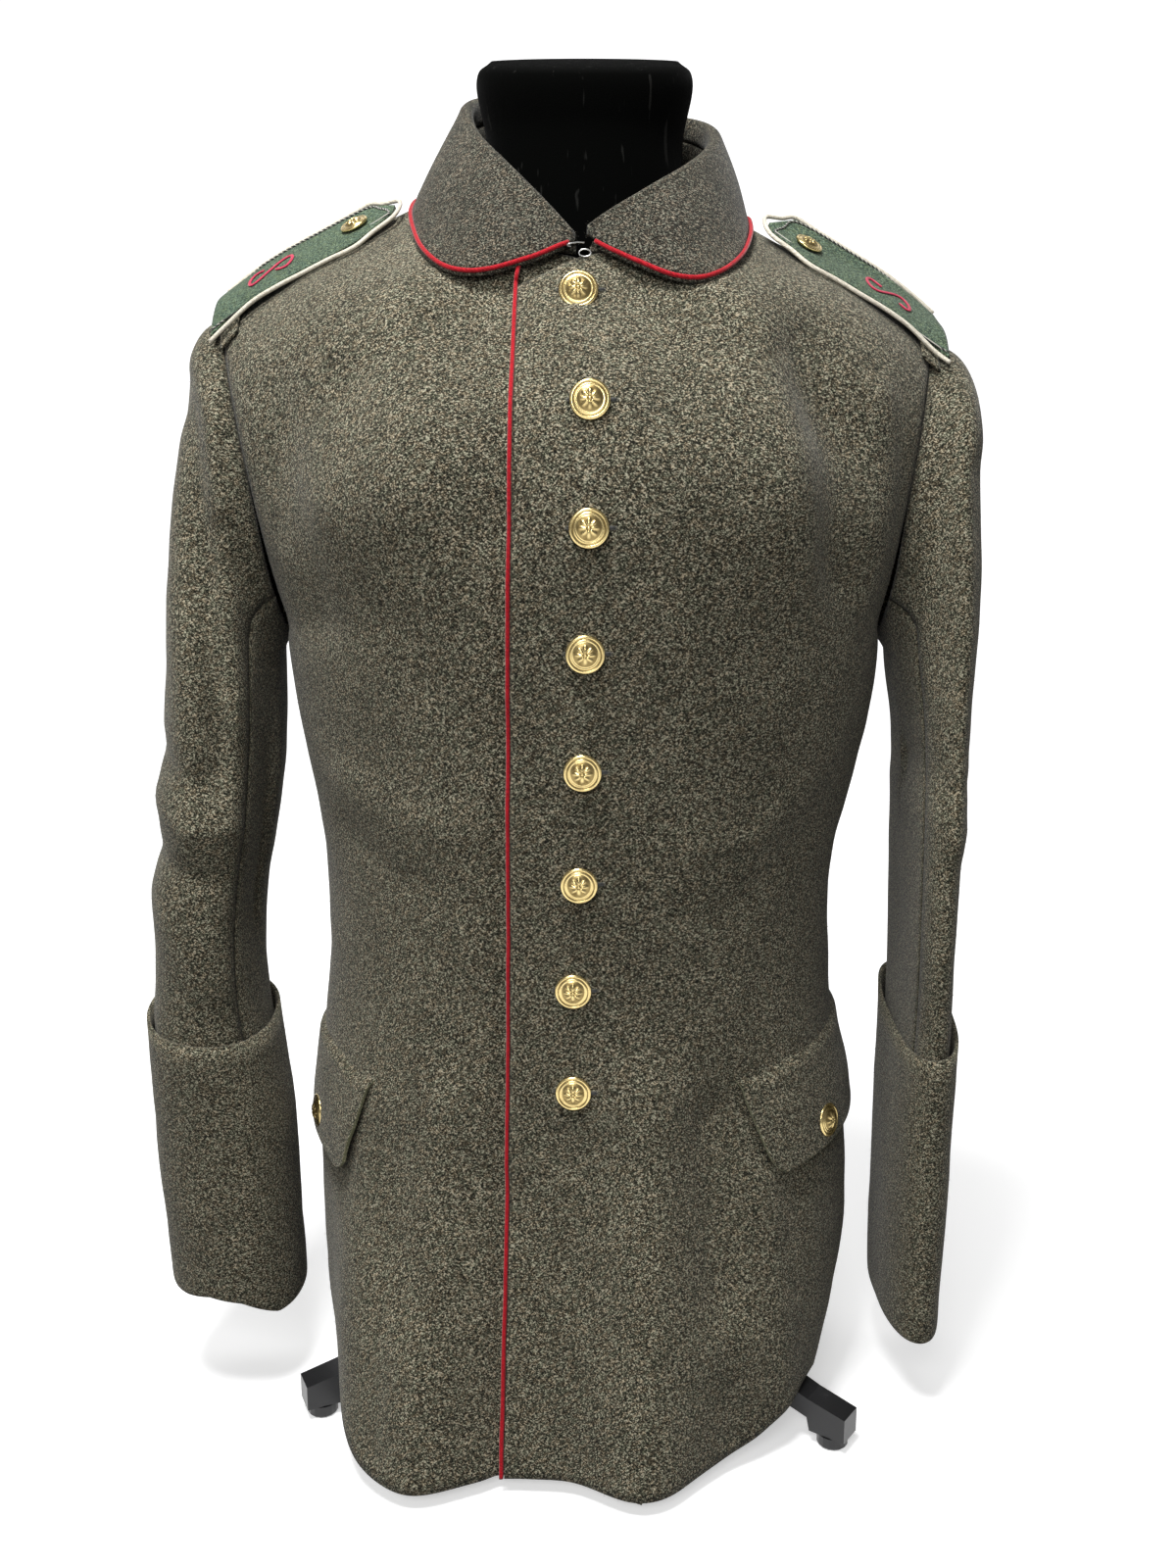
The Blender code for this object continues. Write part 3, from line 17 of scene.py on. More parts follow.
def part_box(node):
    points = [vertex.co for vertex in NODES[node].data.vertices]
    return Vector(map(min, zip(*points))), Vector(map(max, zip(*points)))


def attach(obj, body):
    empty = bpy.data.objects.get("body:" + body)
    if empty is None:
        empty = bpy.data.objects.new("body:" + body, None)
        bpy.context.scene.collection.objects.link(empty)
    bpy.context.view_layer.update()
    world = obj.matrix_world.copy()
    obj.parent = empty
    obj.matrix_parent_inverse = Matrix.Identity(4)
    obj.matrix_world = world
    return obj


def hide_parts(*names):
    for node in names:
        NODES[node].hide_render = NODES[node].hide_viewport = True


bl_info = {
    "name": "Field tunic on a dress form",
    "version": (1, 0, 0),
    "blender": (4, 5, 0),
    "location": "3D View > Sidebar > Tunic",
    "description": "Makes the cloth, trim, buttons and stage of a field tunic around its packed frame",
    "category": "Object",
}

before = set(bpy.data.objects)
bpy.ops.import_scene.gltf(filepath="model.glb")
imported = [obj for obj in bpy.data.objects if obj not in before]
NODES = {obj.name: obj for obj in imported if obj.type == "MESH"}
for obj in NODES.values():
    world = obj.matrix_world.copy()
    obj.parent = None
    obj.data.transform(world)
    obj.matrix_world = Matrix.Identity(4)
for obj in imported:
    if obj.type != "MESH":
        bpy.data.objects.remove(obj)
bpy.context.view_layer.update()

# ---- where the folds lie ----------------------------------------------------------------
Fold = namedtuple("Fold", "face path reach rise")
MM = 0.001


def folds(face, *rows):
    """Soft ridges (rise above 0) and troughs (below 0), one a row, in millimetres.

    A row holds its reach to each side, its rise and its path: (x, z) points where it faces the front or
    the back, and (y, z) points on the wearer's left or right side.
    """
    return [Fold(face, np.array(path) * MM, reach * MM, rise * MM) for reach, rise, *path in rows]


BODY_AXIS = (0.020, -0.025)
BODY_TOP = 0.600  # above here, outwards turns up over the shoulders
SHOULDER_FADE = (0.700, 0.745)
BODY_FOLDS = (
    # front, upper half
    *folds(
        "front",
        (17, -2.6, (-36, 695), (-34, 630), (-30, 570)),
        (22, 2.2, (-70, 690), (-76, 640), (-74, 580)),
        (19, 2.2, (95, 690), (128, 625), (148, 545)),
        (19, -6.2, (146, 665), (162, 610), (168, 545)),
        (11, 2.6, (186, 640), (190, 585), (184, 530)),
        (15, -2.8, (-148, 640), (-140, 580), (-128, 520)),
        (16, -1.6, (52, 690), (66, 660), (72, 625)),
    ),
    # front, waist and skirt
    *folds(
        "front",
        (10, 1.4, (-115, 425), (-85, 405), (-52, 400)),
        (9, -1.3, (-118, 395), (-92, 372), (-64, 362)),
        (10, 1.4, (150, 420), (122, 398), (92, 392)),
        (9, -1.2, (152, 390), (128, 365), (104, 356)),
        (20, 3, (-58, 230), (-61, 120), (-64, 15)),
        (17, -2.8, (-95, 200), (-100, 110), (-106, 30)),
        (21, -2.2, (24, 200), (22, 110), (20, 15)),
        (19, 3.2, (62, 240), (67, 120), (70, 10)),
        (15, -2.6, (100, 220), (106, 120), (112, 20)),
        (14, 2.4, (132, 170), (140, 100), (146, 30)),
        (10, 1, (-16, 560), (-14, 400), (-16, 200)),
        (36, 8, (-70, 70), (-72, 10)),
        (26, 6, (112, 80), (116, 20)),
    ),
    # front armholes, which the seams hold almost flat
    *folds(
        "front",
        (4.5, -1.8, (-187, 695), (-184, 668), (-180.5, 641), (-175, 609), (-167.5, 586)),
        (4.5, -1.8, (214, 690), (221.5, 662), (221, 640), (214, 610), (205, 585)),
    ),
    # back: shoulder blades, the roll under the collar, the waist and the skirt
    *folds(
        "back",
        (24, -3.4, (-88, 640), (-76, 520), (-66, 420)),
        (24, -3, (140, 630), (122, 510), (116, 410)),
        (15, 2.6, (-128, 620), (-120, 560), (-108, 500)),
        (15, 2.6, (172, 625), (162, 560), (152, 505)),
        (13, 2.4, (-48, 694), (20, 684), (92, 692)),
        (12, -1.8, (-36, 668), (30, 658), (82, 664)),
        (12, -2.4, (-92, 402), (-48, 378), (8, 368)),
        (12, -2.2, (40, 372), (90, 384), (136, 406)),
        (11, 1.8, (-80, 360), (-40, 344), (0, 340)),
        (11, 1.8, (55, 344), (95, 352), (128, 368)),
        (22, 3.6, (-52, 280), (-58, 150), (-64, 20)),
        (20, -3.4, (18, 270), (22, 150), (26, 20)),
        (22, 3.6, (96, 290), (104, 150), (112, 20)),
        (18, -2.8, (-104, 250), (-112, 140), (-122, 30)),
    ),
    # sides: the back skirt swells out behind each side seam
    *folds(
        "right",
        (22, 5, (30, 205), (34, 150), (30, 105)),
        (10, -2.4, (2, 220), (4, 60)),
    ),
    *folds(
        "left",
        (22, 4.6, (30, 210), (34, 150), (30, 90)),
        (10, -2.4, (0, 230), (4, 60)),
    ),
)

# Each sleeve's centre line from the cuff up to the shoulder, as (x, y, z).
SLEEVE_LINES = {
    "right": ((-0.214, -0.036, 0.080), (-0.212, -0.032, 0.420), (-0.180, -0.035, 0.640)),
    "left": ((0.240, -0.034, 0.070), (0.238, -0.034, 0.420), (0.222, -0.032, 0.630)),
}
SLEEVE_FADE = (0.625, 0.675)  # the folds die away towards the armhole
SLEEVE_FOLDS = {
    "right": (
        *folds(
            "front",
            (10, -4.6, (-208, 655), (-200, 605), (-196, 552), (-193, 490), (-191, 430)),
            (11, 2.2, (-226, 630), (-220, 560), (-214, 470), (-212, 380)),
            (18, -4.2, (-178, 560), (-172, 490), (-170, 410), (-172, 330)),
            (7, 1.8, (-186, 640), (-184, 600), (-180, 560)),
            (9, -2.4, (-236, 440), (-214, 420), (-190, 416)),
            (9, 2.2, (-240, 408), (-218, 392), (-188, 390)),
            (9, -2.2, (-242, 376), (-220, 362), (-196, 362)),
            (12, 2, (-244, 345), (-222, 318), (-206, 290)),
        ),
        *folds(
            "back",
            (16, -3, (-196, 590), (-206, 500), (-214, 420)),
            (10, 2.2, (-240, 420), (-214, 408), (-192, 412)),
            (10, -2.2, (-242, 385), (-218, 372), (-196, 378)),
        ),
    ),
    "left": (
        *folds(
            "front",
            (10, -3.4, (216, 640), (224, 570), (230, 500), (232, 420)),
            (8, 2.6, (238, 640), (242, 560), (244, 480), (244, 380)),
            (13, -2.6, (246, 600), (250, 520), (250, 440)),
            (8, -1.6, (224, 430), (238, 418), (254, 420)),
            (8, 1.4, (224, 398), (240, 388), (254, 392)),
        ),
        *folds(
            "back",
            (14, -2.6, (226, 590), (236, 500), (240, 410)),
            (9, 1.6, (226, 405), (240, 395), (254, 400)),
        ),
    ),
}
FOLD_GAIN = 1.5  # how bold every fold is made
UNEVEN_RISE = 0.0012  # how far plain cloth wanders from its form
UNEVEN_LENGTHS, UNEVEN_MOST = (0.110, 0.064, 0.037), 1.83  # the swells' lengths, and their greatest sum
# How far the right cuff's front lower edge is raised, by x: its mouth is cut straight from corner to corner.
CUFF_MOUTH = (
    (-0.246, 0.0), (-0.236, 0.0020), (-0.221, 0.0066), (-0.200, 0.0054), (-0.179, -0.0030), (-0.166, 0.0))
CUFF_MOUTH_BAND = (0.012, 0.045)  # the raise dies away between these heights above the mouth
CUFF_FRONT = (-0.030, -0.044)  # and between these places in y, so that only the front is raised

# ---- small parts ------------------------------------------------------------------------
SIDES = ("left", "right")
CREASE_ANGLE = math.radians(48)  # a sharper edge is the cloth's own cut edge
FINE_LEVEL, PLAIN_LEVEL = 3, 2  # subdivisions of the solids' faces
FINE_PARTS = ("front", "sleeve_upper")  # the panels whose folds show most

# Flat cut sizes: width, length and the share of that rectangle which the cut fills. A part that has no
# node of its own name is cut once for each side.
Cut = namedtuple("Cut", "width length share held")
CUTS = {
    "front": Cut(0.370, 0.760, 0.77, "hung"),
    "back_left": Cut(0.280, 0.770, 0.76, "hung"),
    "back_right": Cut(0.280, 0.770, 0.78, "hung"),
    "sleeve_upper": Cut(0.200, 0.640, 0.80, "hung"),
    "sleeve_under": Cut(0.125, 0.570, 0.86, "hung"),
    "cuff": Cut(0.310, 0.225, 0.88, "folded"),
    "collar_fall": Cut(0.440, 0.115, 0.86, "folded"),
    "collar_stand": Cut(0.370, 0.045, 0.90, "hung"),
    "flap": Cut(0.150, 0.085, 0.86, "hung"),
    "strap": Cut(0.046, 0.118, 0.95, "laid"),
    "strap_loop": Cut(0.018, 0.064, 0.98, "stretched"),
}
SEWN_PARTS = ("front", "back", "sleeve_upper", "sleeve_under")  # the panels that meet edge to edge
SEAM_REACH, SEAM_SINK = 0.0036, 0.0020  # how wide and how deep a seam is pressed in
ARMHOLE_HOLD = 0.026  # folds reach their full depth this far from an armhole's seam
# The under front beside the lapping edge: how far off that line it sinks most, over what reach, and how deep.
OVERLAP_BESIDE, OVERLAP_REACH, OVERLAP_SINK = 0.0015, 0.0060, 0.0030
OVERLAP_FRONT = (-0.060, -0.080)  # only cloth in front of these places in y sinks
FLAP_BANDS = 9  # upright bands in which a flap's top edge is found
FLAP_SINK, FLAP_TURN = 0.0056, 0.009  # how deep a flap's top edge goes into its slit, over how much of it
FLAP_LIFT, FLAP_HANG = 0.0030, 0.055  # how far a flap's lower edge stands off, and how far down that is
RAW_SLOPE = 0.5  # a face that looks out less than this is the cloth's cut edge
PIPING_RADIUS = 0.00125
RING_NEAR = 0.0015  # neighbours on one ring of a cord's node are nearer than this
WIRE_RADIUS = 0.00045
STRAP_SHOULDER, STRAP_END = 0.021, 0.0030  # from a strap's tip to where it narrows, and to its border cord
CORD_PITCH = 0.0030  # one turn of the twisted cord
LOOP_HALF = (0.0125, 0.0068)  # half the stitched loop's length along the strap, and half its width
LOOP_START, LOOP_TURN = 0.35, 0.86  # where on the figure of eight it starts, and the share that is stitched
CHAIN_LINK, CHAIN_STEP = (0.0024, 0.0015, 0.00072), 0.0013  # a chain stitch's length, width and thickness
HOLE_ASIDE, HOLE_HALF = 0.0012, 0.0013  # a buttonhole's middle beside its button's, and half its width
HOLE_SQUARE = 0.6  # below 1, a buttonhole's ends are squarer than an ellipse's
HOLE_POINTS = 64
HOLE_STITCH, HOLE_STEP = (0.0022, 0.00048), 0.0007  # a buttonhole stitch's length and thickness
HOLE_SHADE_RADIUS = 0.0011  # radius of the dark tube in each slit, a painted shade in the opening
FRONT_BUTTONS = [f"front_button_{i}" for i in range(1, 9)]
BUTTONS = FRONT_BUTTONS + [f"{part}_button_{side}" for part in ("flap", "strap") for side in SIDES]

# Button face: (share of the radius, height as a share of the radius), from the rim's back inwards.
BUTTON_FACE = (
    (0.00, 0.02), (0.86, 0.02), (0.95, 0.05), (0.995, 0.11), (1.00, 0.16), (0.975, 0.21), (0.93, 0.245),
    (0.88, 0.255), (0.845, 0.245), (0.825, 0.215), (0.80, 0.215), (0.775, 0.24), (0.745, 0.265),
    (0.71, 0.270), (0.68, 0.255), (0.655, 0.262), (0.60, 0.295), (0.50, 0.335), (0.40, 0.36),
    (0.30, 0.378), (0.20, 0.39), (0.10, 0.397), (0.0, 0.40),
)
BUTTON_TURNS = 72
BUTTON_LEVEL = 1.2  # how far a front button swings to face straight ahead
BUTTON_FIELD = 0.62  # share of the radius inside the stepped rim, where the rosette stands
BUTTON_GROOVE = (0.78, 0.84)  # shares of the radius between which the rim holds tarnish
ROSETTE_PETALS, ROSETTE_RISE = 8, 0.095

# The collar's left leaf is drawn in at the throat, and most at this x.
THROAT_X, THROAT_DRAW, THROAT_BACK = 0.0225, 0.0045, 0.0008
# The collar's piping runs on to the throat, and the front edge's goes on up under the collar.
THROAT_RIGHT = ((0.0150, -0.1140, 0.7210), (0.0090, -0.1158, 0.7185), (0.0030, -0.1180, 0.7145))
THROAT_LEFT = ((0.0410, -0.1200, 0.7125), (0.0350, -0.1170, 0.7165), (0.0285, -0.1140, 0.7210))
FRONT_PIPING_TOP = ((0.0030, 0.0060, 0.0160), (0.0015, 0.0035, 0.0110), (0.0006, 0.0010, 0.0060))
FRONT_TOP = (0, -0.12, 1)  # above the front piping's top end

CAMERA_SPOT = (0.0250, -0.9440, 0.6005)
CAMERA_DOWN = math.radians(12)
CAMERA_LENS, CAMERA_SENSOR = 33.75, 36  # mm, along the picture's long side
FLOOR_FRONT, FLOOR_BACK, FLOOR_SIDE = -6.0, 2.2, 7.0
BACKDROP_BEND, BACKDROP_TOP = 1.6, 6.0  # the floor curves up into the backdrop
Lamp = namedtuple("Lamp", "name spot aim share size")  # share is of the key light's power
LAMPS = (
    Lamp("key", (-0.30, -0.68, 2.15), (0, 0, 0.50), 1.0, 0.50),
    Lamp("front", (-0.35, -1.75, 1.35), (0, 0, 0.56), 0.40, 0.7),
    Lamp("left rim", (-1.5, 0.10, 1.2), (0, 0, 0.45), 0.04, 0.9),
    Lamp("right rim", (1.5, 0.10, 1.2), (0, 0, 0.45), 0.02, 0.9),
    Lamp("backdrop", (0, 1.4, 2.6), (0, 3.4, 0.8), 1.5, 2.4),
)


# ---- materials --------------------------------------------------------------------------
class Value:
    """One output of a material's node, which takes part in Python arithmetic."""

    def __init__(self, paint, socket):
        self.paint, self.socket = paint, socket

    def _math(self, operation, *values):
        return self.paint.node("ShaderNodeMath", {"operation": operation}, dict(enumerate(values)))

    def __add__(self, other):
        return self._math("ADD", self, other)

    def __sub__(self, other):
        return self._math("SUBTRACT", self, other)

    def __rsub__(self, other):
        return self._math("SUBTRACT", other, self)

    def __mul__(self, other):
        return self._math("MULTIPLY", self, other)

    def __truediv__(self, other):
        return self._math("DIVIDE", self, other)

    __radd__, __rmul__ = __add__, __mul__

    def between(self, low, high):
        """0 below low, 1 above high, and smooth from one to the other."""
        return self.paint.node(
            "ShaderNodeMapRange", {"interpolation_type": "SMOOTHSTEP"}, {0: self, 1: low, 2: high})


class Paint:
    """A material under construction, round one Principled shader."""

    def __init__(self, name, **constants):
        self.material = bpy.data.materials.new(name)
        self.material.use_nodes = True
        self.tree = self.material.node_tree
        self.shader = self.tree.nodes["Principled BSDF"]
        for key, value in constants.items():
            self.shader.inputs[key.replace("_", " ").title().replace("Ior", "IOR")].default_value = value
        self.place = self.node("ShaderNodeTexCoord", output="Object")

    def node(self, kind, settings=None, inputs=None, output=0):
        made = self.tree.nodes.new(kind)
        for key, value in (settings or {}).items():
            setattr(made, key, value)
        for key, value in (inputs or {}).items():
            if isinstance(value, Value):
                self.tree.links.new(value.socket, made.inputs[key])
            else:
                made.inputs[key].default_value = value
        return Value(self, made.outputs[output])

    def noise(self, size, detail=2.0, rough=0.5, turn=(0, 0, 0), stretch=(1, 1, 1)):
        """Noise from 0 to 1, its features about size metres across and drawn out by stretch."""
        spot = self.node("ShaderNodeMapping", {"vector_type": "TEXTURE"}, {
            "Vector": self.place, "Rotation": turn, "Scale": tuple(size * s for s in stretch)})
        return self.node("ShaderNodeTexNoise", inputs={
            "Vector": spot, "Scale": 1.0, "Detail": detail, "Roughness": rough})

    def mix(self, share, a, b, blend="MIX"):
        return self.node(
            "ShaderNodeMix", {"data_type": "RGBA", "blend_type": blend}, {0: share, 6: a, 7: b}, output=2)

    def attribute(self, name):
        return self.node("ShaderNodeAttribute", {"attribute_name": name}, output="Fac")

    def bump(self, height, distance, strength=1.0):
        return self.node("ShaderNodeBump", inputs={
            "Height": height, "Distance": distance, "Strength": strength})

    def feed(self, **links):
        for key, value in links.items():
            self.tree.links.new(value.socket, self.shader.inputs[key.replace("_", " ").title()])
        return self.material


def rgb(red, green, blue):
    return (red, green, blue, 1.0)


def fibres(paint, size, length, turns):
    """Short fibres that lie in several directions: bright where one crosses, dark between them."""
    total = None
    for turn in turns:
        hair = paint.noise(size, 1.0, 0.5, turn, (1, 1, length))
        total = hair if total is None else total + hair
    return total / len(turns)


RAW_CLOTH = rgb(0.30, 0.31, 0.17)
WOOL_TURNS = ((0.2, 0.8, 0.0), (-0.3, -0.75, 0.5), (0.5, 1.6, 0.9))  # the ways that the fibres lie
WOOL_LENGTH = 2.6  # a fibre's length over its width in the grain
DARK_GRAIN, PALE_GRAIN = (0.440, 0.500), (0.515, 0.580)  # dark below the first, pale above the second
# the fourth share darkens the wool along the seams, a painted shade in their pressed-in grooves
WARM_SHARE, COOL_SHARE, PATCH_SHARE, SEAM_SHADE_SHARE, RAW_SHARE = 0.34, 0.30, 0.14, 0.50, 0.45


def wool(name, tones, fibre, bump):
    """Melange wool: dark, middle and pale fibres, with a greener and a browner cast in soft patches."""
    dark, middle, pale, warm, cool = tones
    paint = Paint(name, roughness=0.92, sheen_weight=0.10, sheen_roughness=0.5, specular_ior_level=0.12)
    coarse = fibres(paint, fibre, WOOL_LENGTH, WOOL_TURNS)
    fine = fibres(paint, fibre * 0.5, WOOL_LENGTH, WOOL_TURNS[::-1])
    patch = paint.noise(0.055, 3.0, 0.6)
    grain = coarse * 0.66 + fine * 0.34
    colour = paint.mix(grain.between(*DARK_GRAIN), dark, middle)
    colour = paint.mix(grain.between(*PALE_GRAIN), colour, pale)
    tint = paint.noise(fibre * 2.4, 2.0, 0.6, (0.3, 0.9, 0.2), (1, 1, 2.4))
    colour = paint.mix(tint.between(0.46, 0.62) * WARM_SHARE, colour, warm, "SOFT_LIGHT")
    colour = paint.mix((1 - tint).between(0.46, 0.62) * COOL_SHARE, colour, cool, "SOFT_LIGHT")
    colour = paint.mix(patch.between(0.44, 0.64) * PATCH_SHARE, colour, dark)
    # painted shade along each seam's pressed-in groove
    colour = paint.mix(paint.attribute("seam") * SEAM_SHADE_SHARE, colour, dark)
    colour = paint.mix(paint.attribute("raw") * RAW_SHARE, colour, RAW_CLOTH)  # a cut edge is paler
    height = grain + paint.noise(fibre * 5, 2.0) * 0.6
    return paint.feed(base_color=colour, normal=paint.bump(height, bump, 0.8))


def felt_cord(name, colour, shade, pitch):
    """Piping: cloth cord with a slanting weave whose raised ridges are paler."""
    paint = Paint(name, roughness=0.80, sheen_weight=0.3, sheen_roughness=0.4, specular_ior_level=0.2)
    hair = fibres(paint, 0.0007, 3.5, WOOL_TURNS)
    ridge = paint.node("ShaderNodeTexWave", {"bands_direction": "DIAGONAL"}, {
        "Vector": paint.place, "Scale": 0.5 / pitch, "Distortion": 1.2, "Detail": 1.0})
    colour = paint.mix(hair.between(0.38, 0.60) * 0.75 + ridge * 0.2, shade, colour)
    return paint.feed(base_color=colour, normal=paint.bump(hair + ridge * 0.5, 0.00035, 0.7))


def polished_brass():
    """Brass that is bright on its relief, and dull and hazy in the hollows."""
    paint = Paint("brass", metallic=1.0, specular_ior_level=0.5)
    relief = paint.attribute("relief")
    haze = paint.noise(0.0042, 4.0, 0.6)
    spots = paint.noise(0.0011, 2.0, 0.5)
    dull = (1 - relief) * 0.85 + haze.between(0.45, 0.75) * 0.25
    colour = paint.mix(dull, rgb(0.80, 0.63, 0.29), rgb(0.13, 0.085, 0.026))
    rough = 0.22 + dull * 0.20 + spots.between(0.5, 0.8) * 0.10
    return paint.feed(base_color=colour, roughness=rough, normal=paint.bump(haze + spots * 0.5, 0.00004, 0.4))


def steel_wire():
    paint = Paint("steel_wire", metallic=1.0)
    haze = paint.noise(0.0020, 3.0)
    return paint.feed(
        base_color=paint.mix(haze, rgb(0.62, 0.62, 0.60), rgb(0.36, 0.36, 0.35)), roughness=0.22 + haze * 0.2)


def black_velvet():
    """Pile brushed in faint upright streaks, which show as painted sheen."""
    paint = Paint(
        "black_velvet", roughness=1.0, sheen_weight=0.015, sheen_roughness=0.4, specular_ior_level=0.02)
    streak = paint.noise(0.0042, 2.0, 0.5, (0, 0, 0), (1, 1, 26))
    pile = paint.noise(0.0006, 2.0)
    shine = streak.between(0.64, 0.70) * 0.8 + pile * 0.1
    colour = paint.mix(shine, rgb(0.0005, 0.0006, 0.0005), rgb(0.012, 0.012, 0.011))
    return paint.feed(base_color=colour, normal=paint.bump(pile + streak, 0.0004, 0.5))


def form_linen():
    """The torso's plain weave."""
    paint = Paint("form_linen", roughness=0.85, specular_ior_level=0.2)
    weft = paint.noise(0.0006, 1.0, 0.5, (0, 0, 0), (9, 9, 1))
    warp = paint.noise(0.0006, 1.0, 0.5, (0, 0, 0), (1, 1, 9))
    weave = weft * 0.5 + warp * 0.5
    colour = paint.mix(weave.between(0.35, 0.65), rgb(0.33, 0.29, 0.22), rgb(0.55, 0.50, 0.41))
    return paint.feed(base_color=colour, normal=paint.bump(weave, 0.0003, 0.6))


def black_metal():
    """Enamel with a fine orange peel and a few scuffs."""
    paint = Paint("black_metal", specular_ior_level=0.5, coat_roughness=0.2)
    peel = paint.noise(0.0016, 2.0)
    scuff = paint.noise(0.013, 5.0, 0.7).between(0.62, 0.74)
    colour = paint.mix(scuff, rgb(0.010, 0.010, 0.011), rgb(0.035, 0.035, 0.036))
    return paint.feed(
        base_color=colour, roughness=0.32 + scuff * 0.25, normal=paint.bump(peel, 0.00012, 0.5))


def thread(name, colour, shade):
    """Sewing thread with a fine ply."""
    paint = Paint(name, roughness=0.55, sheen_weight=0.3, specular_ior_level=0.4)
    ply = paint.noise(0.00035, 1.0)
    return paint.feed(base_color=paint.mix(ply, shade, colour), normal=paint.bump(ply, 0.00008, 0.6))


def make_materials():
    field_wool = wool("tunic_wool", (
        rgb(0.007, 0.007, 0.005), rgb(0.078, 0.072, 0.050), rgb(0.440, 0.405, 0.310),
        rgb(0.66, 0.48, 0.30), rgb(0.36, 0.50, 0.38)), 0.00080, 0.0007)
    # painted shade: the collar's wool is the tunic wool made darker, to take down the overhead light on the
    # collar
    collar_wool = wool("collar_wool", (
        rgb(0.004, 0.004, 0.003), rgb(0.040, 0.037, 0.028), rgb(0.250, 0.231, 0.184),
        rgb(0.66, 0.48, 0.32), rgb(0.36, 0.50, 0.40)), 0.00075, 0.0006)
    strap_wool = wool("strap_wool", (
        rgb(0.010, 0.018, 0.015), rgb(0.066, 0.098, 0.064), rgb(0.240, 0.300, 0.205),
        rgb(0.52, 0.56, 0.26), rgb(0.26, 0.48, 0.50)), 0.00070, 0.0007)
    return {
        "tunic_wool": field_wool, "collar_wool": collar_wool, "strap_wool": strap_wool,
        "red_piping": felt_cord("red_piping", rgb(0.540, 0.009, 0.020), rgb(0.240, 0.003, 0.008), 0.0016),
        "white_piping": felt_cord("white_piping", rgb(0.800, 0.755, 0.640), rgb(0.520, 0.470, 0.370), 0.0016),
        "brass": polished_brass(), "steel_wire": steel_wire(), "black_velvet": black_velvet(),
        "form_linen": form_linen(), "black_metal": black_metal(),
        "crimson_thread": thread("crimson_thread", rgb(0.680, 0.008, 0.075), rgb(0.300, 0.003, 0.032)),
        "dark_thread": thread("dark_thread", rgb(0.020, 0.022, 0.020), rgb(0.006, 0.006, 0.006)),
        "pale_thread": thread("pale_thread", rgb(0.62, 0.60, 0.53), rgb(0.30, 0.29, 0.25)),
        "grey_thread": thread("grey_thread", rgb(0.110, 0.106, 0.076), rgb(0.045, 0.043, 0.030)),
    }


MATERIALS = make_materials()


# ---- folds ------------------------------------------------------------------------------
def node_points(node):
    return np.array([v.co for v in NODES[node].data.vertices])


def smooth(low, high, x):
    t = np.clip((x - low) / (high - low), 0, 1)
    return t * t * (3 - 2 * t)


def off_path(points, path):
    """Each point's distance from the path."""
    best = np.full(len(points), np.inf)
    for a, b in zip(path, path[1:]):
        along = np.clip(((points - a) @ (b - a)) / ((b - a) @ (b - a)), 0, 1)
        best = np.minimum(best, np.linalg.norm(points - a - along[:, None] * (b - a), axis=1))
    return best


def unevenness(p):
    """Slow swells of plain cloth, within -1 and 1, the same on each run."""
    x, y, z = p.T
    across, along = 0.83 * x + 0.41 * y + 0.37 * z, 0.29 * x - 0.56 * y + 0.77 * z
    total = np.zeros(len(p))
    for i, length in enumerate(UNEVEN_LENGTHS):
        k = 2 * math.pi / length
        total += np.sin(k * across + (0.7 + 1.9 * i)) * np.sin(k * along + (1.3 + 2.3 * i)) / (1 + i)
    return total / UNEVEN_MOST


def side_of(node):
    return node.rsplit("_", 1)[1]


def axis_beside(node, p):
    """The point on the middle line of the body or the sleeve that each point of a panel stands out from."""
    if node.startswith(("sleeve", "cuff")):
        line = np.array(SLEEVE_LINES[side_of(node)])
        return np.column_stack([np.interp(p[:, 2], line[:, 2], line[:, i]) for i in range(3)])
    x, y = BODY_AXIS
    return np.column_stack([np.full(len(p), x), np.full(len(p), y), np.minimum(p[:, 2], BODY_TOP)])


def way_out(node, p):
    outwards = p - axis_beside(node, p)
    return outwards / np.maximum(np.linalg.norm(outwards, axis=1), 1e-6)[:, None]


def panel_push(node, p):
    """The cloth's creases: where each point of a panel goes from its place on the form."""
    on_sleeve = node.startswith(("sleeve", "cuff"))
    fade = 1 - smooth(*(SLEEVE_FADE if on_sleeve else SHOULDER_FADE), p[:, 2])
    outwards = way_out(node, p)
    facing = {
        "front": smooth(0.10, 0.45, -outwards[:, 1]), "back": smooth(0.10, 0.45, outwards[:, 1]),
        "left": smooth(0.30, 0.70, outwards[:, 0]), "right": smooth(0.30, 0.70, -outwards[:, 0])}
    total = UNEVEN_RISE * unevenness(p)
    for fold in SLEEVE_FOLDS[side_of(node)] if on_sleeve else BODY_FOLDS:
        seen = [0, 2] if fold.face in ("front", "back") else [1, 2]
        away = off_path(p[:, seen], fold.path) / fold.reach
        total = total + fold.rise * FOLD_GAIN * np.exp(-away * away) * facing[fold.face]
    return outwards * (total * fade)[:, None]


def flap_push(node, p):
    """A flap's top edge is pressed into its pocket's slit, and the rest lies with the skirt's folds."""
    solid = node_points(node)
    bands = np.array_split(solid[np.argsort(solid[:, 1])], FLAP_BANDS)
    top = np.interp(p[:, 1], [band[:, 1].mean() for band in bands], [band[:, 2].max() for band in bands])
    below = top - p[:, 2]
    lift = FLAP_LIFT * smooth(FLAP_TURN, FLAP_HANG, below) - FLAP_SINK * (1 - smooth(0.001, FLAP_TURN, below))
    return panel_push(node, p) + way_out(node, p) * lift[:, None]


